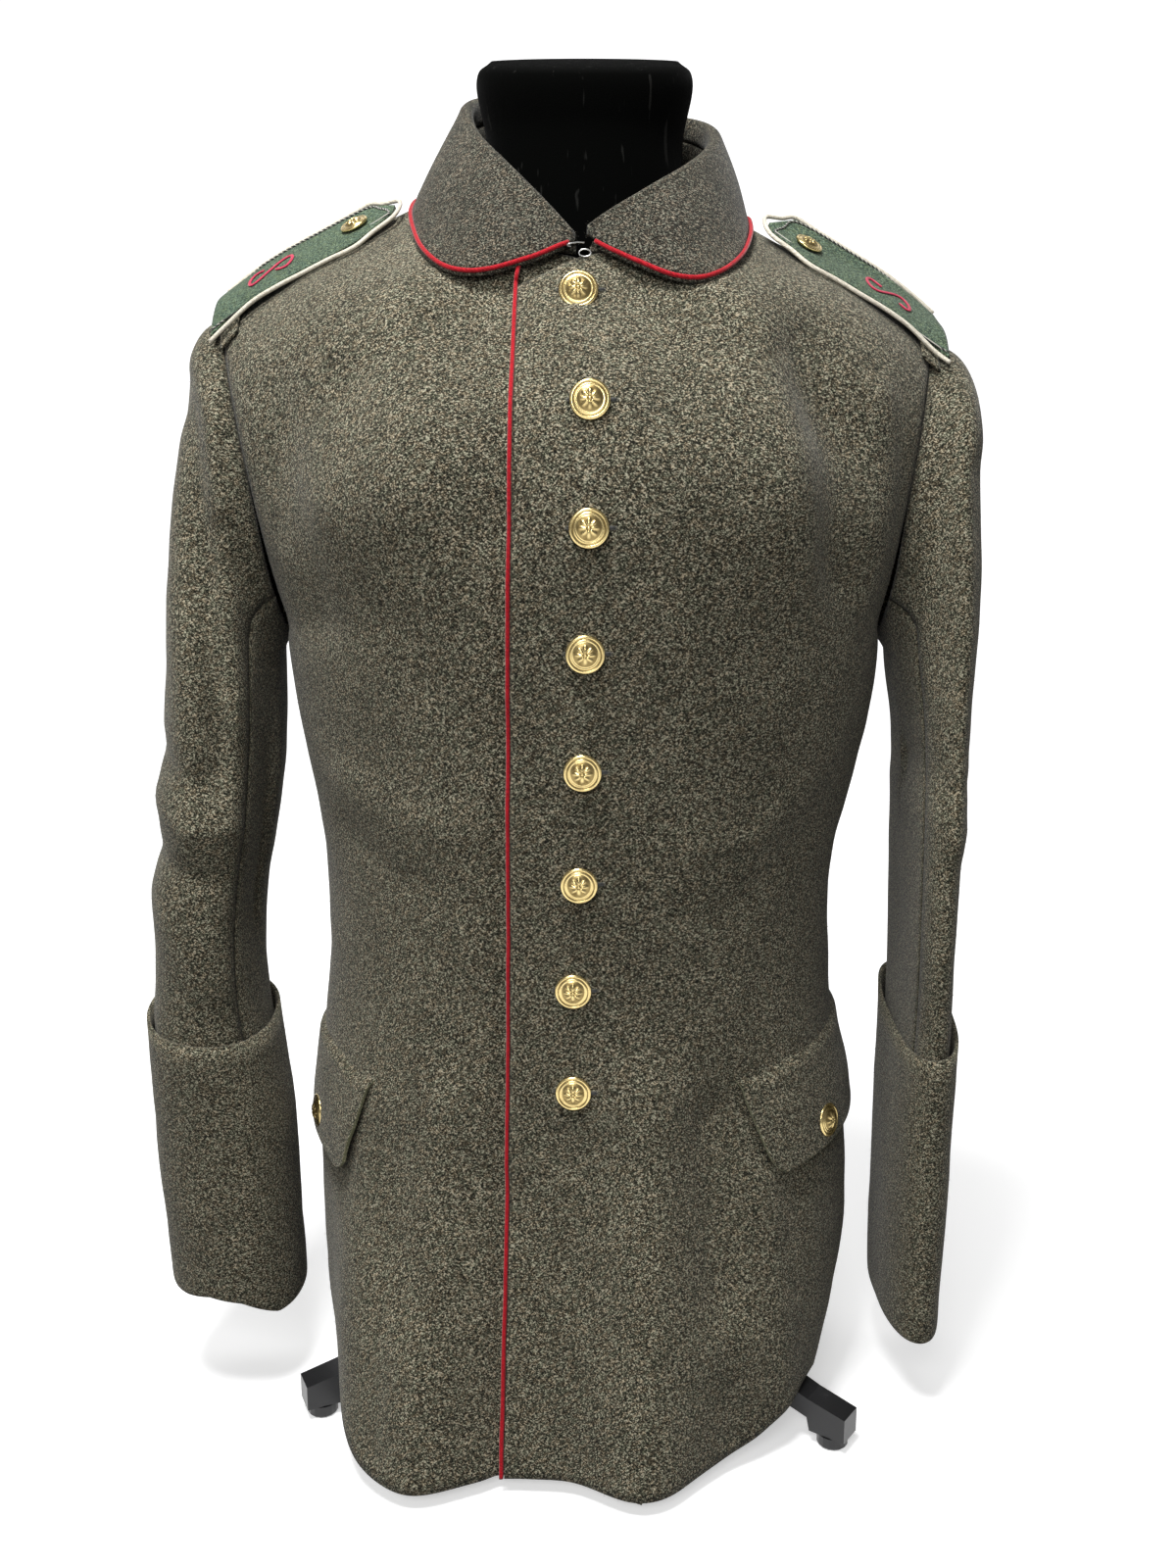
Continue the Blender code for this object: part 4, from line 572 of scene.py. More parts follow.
def cuff_push(node, p):
    """The right cuff's cut mouth runs in straight lines from corner to corner."""
    moved = panel_push(node, p)
    near = 1 - smooth(*CUFF_MOUTH_BAND, p[:, 2] - node_points(node)[:, 2].min())
    moved[:, 2] += np.interp(p[:, 0], *zip(*CUFF_MOUTH)) * near * smooth(*CUFF_FRONT, p[:, 1])
    return moved


def under_push(node, p):
    """The under front sinks a little beside the piped edge that laps over it."""
    edge = np.array([(q.x - OVERLAP_BESIDE, q.z) for q in ring_centres("piping_front", FRONT_TOP)])
    away = off_path(p[:, [0, 2]], edge) / OVERLAP_REACH
    moved = panel_push(node, p)
    moved[:, 1] += OVERLAP_SINK * np.exp(-away * away) * smooth(*OVERLAP_FRONT, p[:, 1])
    return moved


def throat_push(node, p):
    """Draws the collar's left leaf in to meet the right one at the hook."""
    near = 1 - smooth(0.004, 0.034, np.abs(p[:, 0] - THROAT_X))
    near = near * smooth(-0.085, -0.100, p[:, 1]) * smooth(THROAT_X - 0.001, THROAT_X + 0.003, p[:, 0])
    return near[:, None] * np.array((-THROAT_DRAW, -THROAT_BACK, 0.0))


OWN_PUSHES = {
    "cuff_right": cuff_push, "collar_fall": throat_push, "front_right": under_push,
    "flap_left": flap_push, "flap_right": flap_push,
}


def push_for(node):
    """What moves a node's cloth from the solid's form: a function of its points, or None."""
    if node in OWN_PUSHES:
        return lambda p: OWN_PUSHES[node](node, p)
    if node.startswith(("front", "back", "sleeve", "cuff", "flap_button", "piping_front")):
        return lambda p: panel_push(node, p)
    return None


def pushed(point, node):
    push = push_for(node)
    return Vector(point) if push is None else Vector(point) + Vector(push(np.array([point], float))[0])


# ---- meshes -----------------------------------------------------------------------------
def carried(obj):
    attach(obj, "root")
    return obj


def settle(obj, material, node=None):
    """Gives a finished piece its finish and its body, and hides the CAD node that it stands for."""
    obj.data.materials.clear()
    obj.data.materials.append(MATERIALS[material])
    obj.data.polygons.foreach_set("use_smooth", [True] * len(obj.data.polygons))
    carried(obj)
    if node:
        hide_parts(node)
    return obj


def new_object(name, data):
    obj = bpy.data.objects.new(name, data)
    bpy.context.scene.collection.objects.link(obj)
    return obj


def made_mesh(obj):
    """The object with its modifiers made into a plain mesh."""
    graph = bpy.context.evaluated_depsgraph_get()
    mesh = bpy.data.meshes.new_from_object(obj.evaluated_get(graph))
    obj.modifiers.clear()
    obj.data = mesh
    return obj


def softened(node, name, level):
    """A CAD node's form as smooth quads, with its cut edges kept sharp."""
    bm = bmesh.new()
    bm.from_mesh(NODES[node].data)
    bmesh.ops.remove_doubles(bm, verts=bm.verts, dist=2e-5)
    bmesh.ops.join_triangles(
        bm, faces=bm.faces, angle_face_threshold=math.radians(40), angle_shape_threshold=math.radians(60))
    crease = bm.edges.layers.float.new("crease_edge")
    for edge in bm.edges:
        if len(edge.link_faces) != 2 or edge.calc_face_angle() > CREASE_ANGLE:
            edge[crease] = 1.0
    mesh = bpy.data.meshes.new(name)
    bm.to_mesh(mesh)
    bm.free()
    obj = new_object(name, mesh)
    divide = obj.modifiers.new("Soft form", "SUBSURF")
    divide.levels = divide.render_levels = level
    return made_mesh(obj)


def move_points(obj, push):
    if push is None:
        return
    p = np.empty(len(obj.data.vertices) * 3, np.float32)
    obj.data.vertices.foreach_get("co", p)
    p = p.reshape(-1, 3).astype(float)
    obj.data.vertices.foreach_set("co", (p + push(p)).astype(np.float32).ravel())
    obj.data.update()


def tree_of(*objects):
    points, faces = [], []
    for obj in objects:
        base = len(points)
        points += [v.co.copy() for v in obj.data.vertices]
        faces += [[base + i for i in f.vertices] for f in obj.data.polygons]
    return BVHTree.FromPolygons(points, faces)


def cleaned(mesh, nearest):
    """The mesh with its doubled points joined and its faces turned out."""
    bm = bmesh.new()
    bm.from_mesh(mesh)
    bmesh.ops.remove_doubles(bm, verts=bm.verts, dist=nearest)
    bmesh.ops.recalc_face_normals(bm, faces=bm.faces)
    bm.to_mesh(mesh)
    bm.free()
    return mesh


def tube(name, points, radius, sides=10, closed=False):
    """A round cord along points, with rounded ends."""
    curve = bpy.data.curves.new(name, "CURVE")
    curve.dimensions = "3D"
    spline = curve.splines.new("POLY")
    spline.points.add(len(points) - 1)
    for spot, point in zip(spline.points, points):
        spot.co = (*point, 1)
    spline.use_cyclic_u = closed
    curve.bevel_depth = radius
    curve.bevel_resolution = max(0, sides // 2 - 2)
    curve.use_fill_caps = True
    holder = new_object(name, curve)
    graph = bpy.context.evaluated_depsgraph_get()
    mesh = bpy.data.meshes.new_from_object(holder.evaluated_get(graph))
    bpy.data.objects.remove(holder)
    return new_object(name, cleaned(mesh, 1e-6))


def joined(name, objects):
    """Several meshes as one piece, each keeping its own material."""
    bm = bmesh.new()
    materials = []
    for obj in objects:
        start = len(bm.faces)
        bm.from_mesh(obj.data)
        bm.faces.ensure_lookup_table()
        slots = []
        for material in obj.data.materials:
            if material not in materials:
                materials.append(material)
            slots.append(materials.index(material))
        for face in bm.faces[start:]:
            face.material_index = slots[face.material_index] if slots else 0
            face.smooth = True
        bpy.data.objects.remove(obj)
    mesh = bpy.data.meshes.new(name)
    bm.to_mesh(mesh)
    bm.free()
    for material in materials:
        mesh.materials.append(material)
    return new_object(name, mesh)


def even_line(points, step):
    """The same line through points, as a smooth curve with a point every step metres."""
    p = np.array(points, float)
    q = np.vstack([2 * p[0] - p[1], p, 2 * p[-1] - p[-2]])
    fine = []
    for a, b, c, d in zip(q, q[1:], q[2:], q[3:]):
        for t in np.arange(0, 1, 0.05):
            fine.append(0.5 * (
                2 * b + (c - a) * t + (2 * a - 5 * b + 4 * c - d) * t ** 2
                + (3 * b - a - 3 * c + d) * t ** 3))
    fine.append(p[-1])
    fine = np.array(fine)
    run = np.concatenate([[0], np.linalg.norm(np.diff(fine, axis=0), axis=1).cumsum()])
    marks = np.linspace(0, run[-1], max(2, round(run[-1] / step) + 1))
    return np.column_stack([np.interp(marks, run, fine[:, i]) for i in range(3)])


# ---- repeated small parts, by Geometry Nodes --------------------------------------------
class Tree:
    """A Geometry Nodes tree under construction, with named inputs."""

    def __init__(self, name, **inputs):
        self.group = bpy.data.node_groups.new(name, "GeometryNodeTree")
        face = self.group.interface
        face.new_socket("Geometry", in_out="INPUT", socket_type="NodeSocketGeometry")
        face.new_socket("Geometry", in_out="OUTPUT", socket_type="NodeSocketGeometry")
        self.values = {}
        for key, (kind, value) in inputs.items():
            socket = face.new_socket(key.title(), in_out="INPUT", socket_type=f"NodeSocket{kind}")
            self.values[socket.identifier] = value
        self.entry = self.group.nodes.new("NodeGroupInput").outputs

    def node(self, kind, settings=None, inputs=None):
        made = self.group.nodes.new(kind)
        for key, value in (settings or {}).items():
            setattr(made, key, value)
        for key, value in (inputs or {}).items():
            if isinstance(value, bpy.types.NodeSocket):
                self.group.links.new(value, made.inputs[key])
            else:
                made.inputs[key].default_value = value
        return made

    def run(self, obj, geometry):
        """Realises the geometry, paints it, and leaves it as the object's own mesh."""
        real = self.node("GeometryNodeRealizeInstances", inputs={"Geometry": geometry})
        painted = self.node("GeometryNodeSetMaterial", inputs={
            "Geometry": real.outputs[0], "Material": self.entry["Material"]})
        out = self.group.nodes.new("NodeGroupOutput")
        self.group.links.new(painted.outputs[0], out.inputs[0])
        modifier = obj.modifiers.new(self.group.name, "NODES")
        modifier.node_group = self.group
        for identifier, value in self.values.items():
            modifier[identifier] = value
        made_mesh(obj)
        bpy.data.node_groups.remove(self.group)
        return obj


def scattered(name, surface, hair, count_per_m2, seed, material, scale=(0.6, 1.3)):
    """Short hairs over a surface, each turned its own way."""
    tree = Tree(
        "Scattered fibres", hair=("Object", hair), density=("Float", count_per_m2), seed=("Int", seed),
        shortest=("Float", scale[0]), longest=("Float", scale[1]), material=("Material", MATERIALS[material]))
    entry = tree.entry
    spots = tree.node("GeometryNodeDistributePointsOnFaces", inputs={
        "Mesh": entry["Geometry"], "Density": entry["Density"], "Seed": entry["Seed"]})
    shape = tree.node("GeometryNodeObjectInfo", inputs={"Object": entry["Hair"]})
    turn = tree.node("FunctionNodeRandomValue", {"data_type": "FLOAT_VECTOR"}, {
        0: (-0.9, -0.9, -math.pi), 1: (0.9, 0.9, math.pi), "Seed": entry["Seed"]})
    rotate = tree.node("FunctionNodeRotateRotation", {"rotation_space": "LOCAL"}, {
        "Rotation": spots.outputs["Rotation"], "Rotate By": turn.outputs[0]})
    size = tree.node("FunctionNodeRandomValue", {"data_type": "FLOAT"}, {
        2: entry["Shortest"], 3: entry["Longest"], "Seed": entry["Seed"]})
    made = tree.node("GeometryNodeInstanceOnPoints", inputs={
        "Points": spots.outputs["Points"], "Instance": shape.outputs["Geometry"],
        "Rotation": rotate.outputs[0], "Scale": size.outputs[1]})
    return tree.run(new_object(name, surface.data.copy()), made.outputs[0])


def repeated(name, points, normals, link, spacing, material, closed=False):
    """Copies of link along a line: its X along the line and its Z along the cloth's outward normal."""
    mesh = bpy.data.meshes.new(name)
    n = len(points)
    edges = [(i, i + 1) for i in range(n - 1)] + ([(n - 1, 0)] if closed else [])
    mesh.from_pydata([tuple(p) for p in points], edges, [])
    mesh.attributes.new("outward", "FLOAT_VECTOR", "POINT").data.foreach_set(
        "vector", np.array(normals, np.float32).ravel())
    tree = Tree(
        "Repeated links", link=("Object", link), spacing=("Float", spacing),
        material=("Material", MATERIALS[material]))
    entry = tree.entry
    line = tree.node("GeometryNodeMeshToCurve", inputs={"Mesh": entry["Geometry"]})
    even = tree.node("GeometryNodeResampleCurve", {"mode": "LENGTH"}, {
        "Curve": line.outputs[0], "Length": entry["Spacing"]})
    outward = tree.node("GeometryNodeInputNamedAttribute", {"data_type": "FLOAT_VECTOR"}, {"Name": "outward"})
    tangent = tree.node("GeometryNodeInputTangent")
    up = tree.node(
        "FunctionNodeAlignRotationToVector", {"axis": "Z"}, {"Vector": outward.outputs["Attribute"]})
    along = tree.node("FunctionNodeAlignRotationToVector", {"axis": "X", "pivot_axis": "Z"}, {
        "Rotation": up.outputs[0], "Vector": tangent.outputs[0]})
    shape = tree.node("GeometryNodeObjectInfo", inputs={"Object": entry["Link"]})
    made = tree.node("GeometryNodeInstanceOnPoints", inputs={
        "Points": even.outputs[0], "Instance": shape.outputs["Geometry"], "Rotation": along.outputs[0]})
    return tree.run(new_object(name, mesh), made.outputs[0])


def hair_shape(length, width):
    """One curved fibre, a thin three-sided spike."""
    points, faces = [], []
    steps = 3
    for i in range(steps):
        t = i / (steps - 1)
        r = width / 2 * (1 - 0.7 * t)
        bend = length * 0.35 * t * t
        for k in range(3):
            a = 2 * math.pi * k / 3
            points.append((bend + math.cos(a) * r, math.sin(a) * r, length * (t - 0.12)))
    for i in range(steps - 1):
        for k in range(3):
            j = (k + 1) % 3
            faces.append((3 * i + k, 3 * i + j, 3 * i + 3 + j, 3 * i + 3 + k))
    faces += [(2, 1, 0), (3 * steps - 3, 3 * steps - 2, 3 * steps - 1)]
    mesh = bpy.data.meshes.new("hair")
    mesh.from_pydata(points, [], faces)
    return new_object("hair_shape", mesh)


def ring_link(length, width, thick):
    """One chain stitch: a flattened loop of thread."""
    ring = [(math.cos(a) * length / 2, math.sin(a) * width / 2, math.sin(2 * a) * thick * 0.15)
            for a in np.linspace(0, 2 * math.pi, 11)[:-1]]
    return tube("link", ring, thick / 2, 6, closed=True)


def bar_link(length, thick):
    """One straight stitch, which dips into the cloth at both ends."""
    bar = [(length * x, 0, thick * z) for x, z in ((-0.5, -0.4), (-0.25, 0.35), (0.25, 0.35), (0.5, -0.4))]
    return tube("link", bar, thick / 2, 6)


# ---- pieces -----------------------------------------------------------------------------
CLOTH = {}  # finished cloth pieces by the node they stand for


def nodes_of(part):
    """A part's own node, or its two nodes where each side has one."""
    return [part] if part in NODES else [f"{part}_{side}" for side in SIDES]


def sewn_to(node):
    """The panels that a body or sleeve panel is sewn to edge to edge."""
    part, side = node.rsplit("_", 1)
    others = [f"{other}_{side}" for other in SEWN_PARTS if other != part] if part in SEWN_PARTS else []
    if part == "back":
        others.append("back_right" if side == "left" else "back_left")
    return others


def off_nodes(obj, nodes):
    """How far each of the piece's points is from the nearest of these nodes."""
    tree = tree_of(*(NODES[node] for node in nodes))
    return np.array([tree.find_nearest(v.co)[3] for v in obj.data.vertices])


def cloth_push(obj, node):
    """A piece's folds, still at the armhole, and its edges rolled in along its seams, which are marked for a
    painted shade.
    """
    folds, neighbours = push_for(node), sewn_to(node)
    if not neighbours:
        return folds
    across = [other for other in neighbours if other.startswith("sleeve") != node.startswith("sleeve")]
    armhole = off_nodes(obj, across)
    hold = smooth(0.0, ARMHOLE_HOLD, armhole)
    seam = np.exp(-(off_nodes(obj, neighbours) / SEAM_REACH) ** 2)
    # the same weight sinks the seam and darkens it as a painted shade
    obj.data.attributes.new("seam", "FLOAT", "POINT").data.foreach_set("value", seam.astype(np.float32))
    beside = np.exp(-(armhole / ARMHOLE_HOLD) ** 2)[:, None]  # there both sides go straight back together

    def push(p):
        straight = np.zeros_like(p)
        straight[:, 1] = np.sign(BODY_AXIS[1] - p[:, 1])
        inwards = straight * beside - way_out(node, p) * (1 - beside)
        return folds(p) * hold[:, None] + inwards * (seam * SEAM_SINK)[:, None]

    return push


def cloth_piece(node, material, level):
    obj = softened(node, f"{node}_cloth", level)
    move_points(obj, cloth_push(obj, node))
    settle(obj, material, node=node)
    CLOTH[node] = obj
    return obj


def panel(part, side):
    cloth_piece(f"{part}_{side}", "tunic_wool", FINE_LEVEL if part in FINE_PARTS else PLAIN_LEVEL)


def cut_edges(obj):
    """Marks the narrow faces at the sides and foot of a flat piece, where its cloth was cut."""
    raw = np.zeros(len(obj.data.vertices), np.float32)
    for face in obj.data.polygons:
        middle = face.center
        outwards = Vector((middle.x - BODY_AXIS[0], middle.y - BODY_AXIS[1], 0)).normalized()
        if abs(face.normal @ outwards) < RAW_SLOPE and face.normal.z < RAW_SLOPE / 2:
            for i in face.vertices:
                raw[i] = 1
    obj.data.attributes.new("raw", "FLOAT", "POINT").data.foreach_set("value", raw)


def spot_on(tree, x, z):
    """The front cloth's surface at (x, z), and its outward normal."""
    hit, normal, _, _ = tree.ray_cast(Vector((x, -0.5, z)), Vector((0, 1, 0)))
    if hit is None:
        raise RuntimeError(f"nothing to stand on at x {x:.3f}, z {z:.3f}")
    return hit, normal if normal.y < 0 else -normal


def button_frame(node):
    """A button's place from its node: the middle of its back, its outward axis and its radius."""
    p = node_points(node)
    middle = (p.min(axis=0) + p.max(axis=0)) / 2
    spread = p - p.mean(axis=0)
    axes = np.linalg.svd(np.unique(spread.round(6), axis=0), full_matrices=False)[2]
    axis = axes[2]
    hint = np.array((0, 0, 1.0)) if node.startswith("strap") else middle - np.array((*BODY_AXIS, middle[2]))
    axis = axis if axis @ hint > 0 else -axis
    heights = (p - middle) @ axis
    flat = (p - middle) - heights[:, None] * axis
    ends = flat[np.linalg.norm(flat, axis=1) > 1e-4]
    centre = middle + (ends.min(axis=0) + ends.max(axis=0)) / 2
    radius = np.linalg.norm((p - centre) - ((p - centre) @ axis)[:, None] * axis, axis=1).max()
    return Vector(centre + axis * ((p - centre) @ axis).min()), Vector(axis), radius


def rosette(share, angle):
    """The raised flower on a button: how high it stands, from 0 to 1, at a share of the radius."""
    petal = abs(math.cos(ROSETTE_PETALS / 2 * angle))
    leaf = max(0.0, 1 - (share / (0.30 + 0.25 * petal)) ** 4) * (0.45 + 0.55 * petal ** 0.7)
    vein = 0.35 * max(0.0, 1 - abs(math.sin(ROSETTE_PETALS / 2 * angle)) / 0.16) if 0.20 < share < 0.5 else 0
    boss = max(0.0, 1 - (share / 0.13) ** 2)
    return max((min(1.0, leaf) if share >= 0.15 else 0) + vein * 0.2, boss * 0.9)


def button_rings():
    """The button face's rings, with finer ones where the rosette stands."""
    rings = []
    for a, b in zip(BUTTON_FACE, BUTTON_FACE[1:]):
        steps = 4 if b[0] < min(a[0], BUTTON_FIELD) else 1
        rings += [(a[0] + (b[0] - a[0]) * i / steps, a[1] + (b[1] - a[1]) * i / steps) for i in range(steps)]
    return rings + [BUTTON_FACE[-1]]


def brass_button(node):
    """A domed brass button with a stepped rim and a plain rosette, pressed from sheet."""
    back, axis, radius = button_frame(node)
    back = pushed(back, "front_left" if node.startswith(("front", "flap")) else node)
    if node.startswith("front"):  # it stands on a shank, which lets it swing level
        axis = (axis + Vector((0, -BUTTON_LEVEL, 0))).normalized()
    up = Vector((0, 0, 1)) if abs(axis.z) < 0.8 else Vector((0, 1, 0))
    side = up.cross(axis).normalized()
    place = Matrix((side, axis.cross(side), axis)).transposed()
    rings = button_rings()
    points, relief, faces = [], [], []
    for k, (share, height) in enumerate(rings):
        inside = k > 4 and share < BUTTON_FIELD
        dulled = BUTTON_GROOVE[0] < share < BUTTON_GROOVE[1]
        for i in range(BUTTON_TURNS):
            angle = 2 * math.pi * i / BUTTON_TURNS
            raised = rosette(share, angle) if inside else 0.0
            local = Vector((math.cos(angle) * share, math.sin(angle) * share, height + raised * ROSETTE_RISE))
            points.append(tuple(back + place @ (local * radius)))
            relief.append(0.12 + 0.88 * raised if inside else 0.05 if dulled else 0.9)
    for k in range(len(rings) - 1):
        for i in range(BUTTON_TURNS):
            low, high = k * BUTTON_TURNS, (k + 1) * BUTTON_TURNS
            j = (i + 1) % BUTTON_TURNS
            faces.append((low + i, low + j, high + j, high + i))
    mesh = bpy.data.meshes.new(node)
    mesh.from_pydata(points, [], faces)
    mesh.attributes.new("relief", "FLOAT", "POINT").data.foreach_set("value", relief)
    return settle(new_object(f"{node}_brass", cleaned(mesh, 1e-7)), "brass", node=node)


def ring_centres(node, start):
    """The middle line of a swept cord's node, ring by ring from the end nearest start."""
    left = [Vector(v) for v in np.unique(node_points(node).round(5), axis=0)]
    centres = []
    while left:
        ring, edge = [], [left.pop()]
        while edge:
            point = edge.pop()
            ring.append(point)
            near = [q for q in left if (q - point).length < RING_NEAR]
            left = [q for q in left if q not in near]
            edge += near
        centres.append(sum(ring, Vector()) / len(ring))
    walk = [min(centres, key=lambda q: (q - Vector(start)).length)]
    centres.remove(walk[0])
    while centres:
        walk.append(min(centres, key=lambda q: (q - walk[-1]).length))
        centres.remove(walk[-1])
    return walk


def piping(node, material, start, before=(), after=(), leaf=None):
    """Piping as a smooth cord on its node's line from the end near start, with points before and after."""
    line = [Vector(p) for p in before] + ring_centres(node, start) + [Vector(p) for p in after]
    if leaf:  # drawn up to the edge that it is sewn to
        for i, point in enumerate(line):
            near = leaf.find_nearest(point)[0]
            line[i] = near + (point - near).normalized() * PIPING_RADIUS * 0.8
    line = [Vector(p) for p in even_line(line, 0.0018)]
    obj = tube(f"{node}_cord", line, PIPING_RADIUS, 12)
    move_points(obj, push_for(node))
    settle(obj, material, node=node)
    return line


def on_strap(tree, x, y, lift=0.0):
    hit, normal, _, _ = tree.ray_cast(Vector((x, y, 1.0)), Vector((0, 0, -1)))
    if hit is None:
        return None
    normal = normal if normal.z > 0 else -normal
    return hit + normal * lift, normal


def strap_line(tree, path, lift, step):
    """A line drawn on a strap's top: its points and normals."""
    line = even_line([(x, y, 0) for x, y in path], step)
    found = [on_strap(tree, x, y, lift) for x, y, _ in line]
    found = [f for f in found if f is not None]
    return [f[0] for f in found], [f[1] for f in found]


def twisted_cord(name, points, normals, radius, pitch):
    """Two dark threads and a pale one, laid round each other along a line."""
    strands = []
    for phase, material in ((0.0, "dark_thread"), (math.pi, "pale_thread"), (math.pi / 2, "dark_thread")):
        line, run = [], 0.0
        for i, (point, normal) in enumerate(zip(points, normals)):
            ahead = points[min(i + 1, len(points) - 1)] - points[max(i - 1, 0)]
            aside = normal.cross(ahead).normalized()
            run += (point - points[max(i - 1, 0)]).length
            turn = 2 * math.pi * run / pitch + phase
            line.append(point + (aside * math.cos(turn) + normal * math.sin(turn)) * radius * 0.55)
        strand = tube(name, line, radius * 0.55, 6)
        strand.data.materials.append(MATERIALS[material])
        strands.append(strand)
    return joined(name, strands)


class Step:
    """What every operator here shares: it does its work with the panel's sizes."""

    bl_options = {"REGISTER", "UNDO"}

    def execute(self, context):
        self.work(context.scene.tunic_sizes)
        return {"FINISHED"}


class TUNIC_OT_body(Step, bpy.types.Operator):
    """Makes the fronts and the back as soft wool with the photographed folds"""

    bl_idname = "tunic.body"
    bl_label = "Body panels"

    def work(self, sizes):
        for part in ("front", "back"):
            for side in SIDES:
                panel(part, side)


class TUNIC_OT_sleeves(Step, bpy.types.Operator):
    """Makes the two-piece sleeves and the deep turned-back cuffs"""

    bl_idname = "tunic.sleeves"
    bl_label = "Sleeves and cuffs"

    def work(self, sizes):
        for side in SIDES:
            for part in ("sleeve_upper", "sleeve_under", "cuff"):
                panel(part, side)


class TUNIC_OT_collar(Step, bpy.types.Operator):
    """Makes the collar's stand and fall, its red piping, and its wire hook and eye"""

    bl_idname = "tunic.collar"
    bl_label = "Collar"

    def work(self, sizes):
        cloth_piece("collar_stand", "collar_wool", PLAIN_LEVEL)
        cloth_piece("collar_fall", "collar_wool", PLAIN_LEVEL)
        leaf = tree_of(CLOTH["collar_fall"])
        line = piping("piping_collar", "red_piping", THROAT_RIGHT[-1], THROAT_RIGHT, THROAT_LEFT, leaf)
        # the undercollar's raw edge shows a little below the piping
        raw = [p + Vector((0, 0.0012, -0.0018)) for p in line[2:-2:2]]
        edge = tube("raw_edge", raw, 0.0011, 8)
        edge.data.materials.append(MATERIALS["collar_wool"])
        hair = hair_shape(sizes.fibre_length * 0.8, sizes.fibre_width)
        fray = scattered("fray", edge, hair, sizes.fibre_density * 14, 21, "pale_thread", (0.4, 1.0))
        bpy.data.objects.remove(hair)
        carried(joined("undercollar_raw_edge", [edge, fray]))
        low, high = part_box("collar_hook")
        z, y, x0, x1 = (low[2] + high[2]) / 2, low[1], low[0], high[0]
        hook = even_line([
            (x1, y + 0.0015, z + 0.0010), (x1 - 0.004, y, z + 0.0009), (x0 + 0.001, y - 0.0012, z),
            (x0, y - 0.0004, z - 0.0008), (x0 + 0.0020, y + 0.0006, z - 0.0012)], 0.0004)
        settle(tube("collar_hook_wire", hook, WIRE_RADIUS), "steel_wire", node="collar_hook")
        low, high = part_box("collar_eye")
        middle = (np.array(low) + np.array(high)) / 2
        ring = [middle + np.array((math.cos(a) * 0.0032, -0.0004, math.sin(a) * 0.0019))
                for a in np.linspace(0, 2 * math.pi, 33)[:-1]]
        settle(tube("collar_eye_wire", ring, WIRE_RADIUS, closed=True), "steel_wire", node="collar_eye")


class TUNIC_OT_front_edge(Step, bpy.types.Operator):
    """Makes the red piping down the front edge"""

    bl_idname = "tunic.front_edge"
    bl_label = "Front piping"

    def work(self, sizes):
        top = ring_centres("piping_front", FRONT_TOP)[0]
        piping("piping_front", "red_piping", top, [top + Vector(step) for step in FRONT_PIPING_TOP])


class TUNIC_OT_flaps(Step, bpy.types.Operator):
    """Makes the slanted skirt pocket flaps"""

    bl_idname = "tunic.flaps"
    bl_label = "Pocket flaps"

    def work(self, sizes):
        for node in nodes_of("flap"):
            cut_edges(cloth_piece(node, "tunic_wool", FINE_LEVEL))


class TUNIC_OT_straps(Step, bpy.types.Operator):
    """Makes the shoulder straps with piping, twisted border cord, chain-stitched loop and bridle"""

    bl_idname = "tunic.straps"
    bl_label = "Shoulder straps"

    def work(self, sizes):
        for side, sign in (("left", 1), ("right", -1)):
            strap = cloth_piece(f"strap_{side}", "strap_wool", FINE_LEVEL)
            cloth_piece(f"strap_loop_{side}", "tunic_wool", FINE_LEVEL)
            low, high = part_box(f"strap_{side}")
            outer, tip = (high[0], low[0]) if sign > 0 else (low[0], high[0])
            piping(f"strap_piping_{side}", "white_piping", (outer, low[1], low[2]))
            middle = (low[1] + high[1]) / 2
            half = (high[1] - low[1]) / 2 - sizes.border_inset
            shoulder, end = tip + sign * STRAP_SHOULDER, tip + sign * STRAP_END
            near = (
                (outer - sign * 0.0025, half), ((outer + shoulder) / 2, half), (shoulder, half),
                (end + sign * 0.006, half * 0.50))
            border = [(x, middle - y) for x, y in near] + [(end, middle)]
            border += [(x, middle + y) for x, y in near[::-1]]
            tree = tree_of(strap)
            points, normals = strap_line(tree, border, 0.0005, 0.0006)
            cord = twisted_cord(f"strap_border_{side}", points, normals, sizes.border_radius, CORD_PITCH)
            carried(cord)
            # one chain-stitched open figure-of-eight loop, a plain ornament
            centre = outer - sign * sizes.loop_from_end
            loop = []
            for t in np.linspace(0, 1, 41):
                a = 2 * math.pi * t * LOOP_TURN + LOOP_START
                x, y = LOOP_HALF[0] * math.sin(a), LOOP_HALF[1] * math.sin(2 * a)
                loop.append((centre - sign * x, middle + sign * y))
            points, normals = strap_line(tree, loop, 0.0006, 0.0005)
            link = ring_link(*CHAIN_LINK)
            chain = repeated(f"strap_loopstitch_{side}", points, normals, link, CHAIN_STEP, "crimson_thread")
            bpy.data.objects.remove(link)
            settle(chain, "crimson_thread")


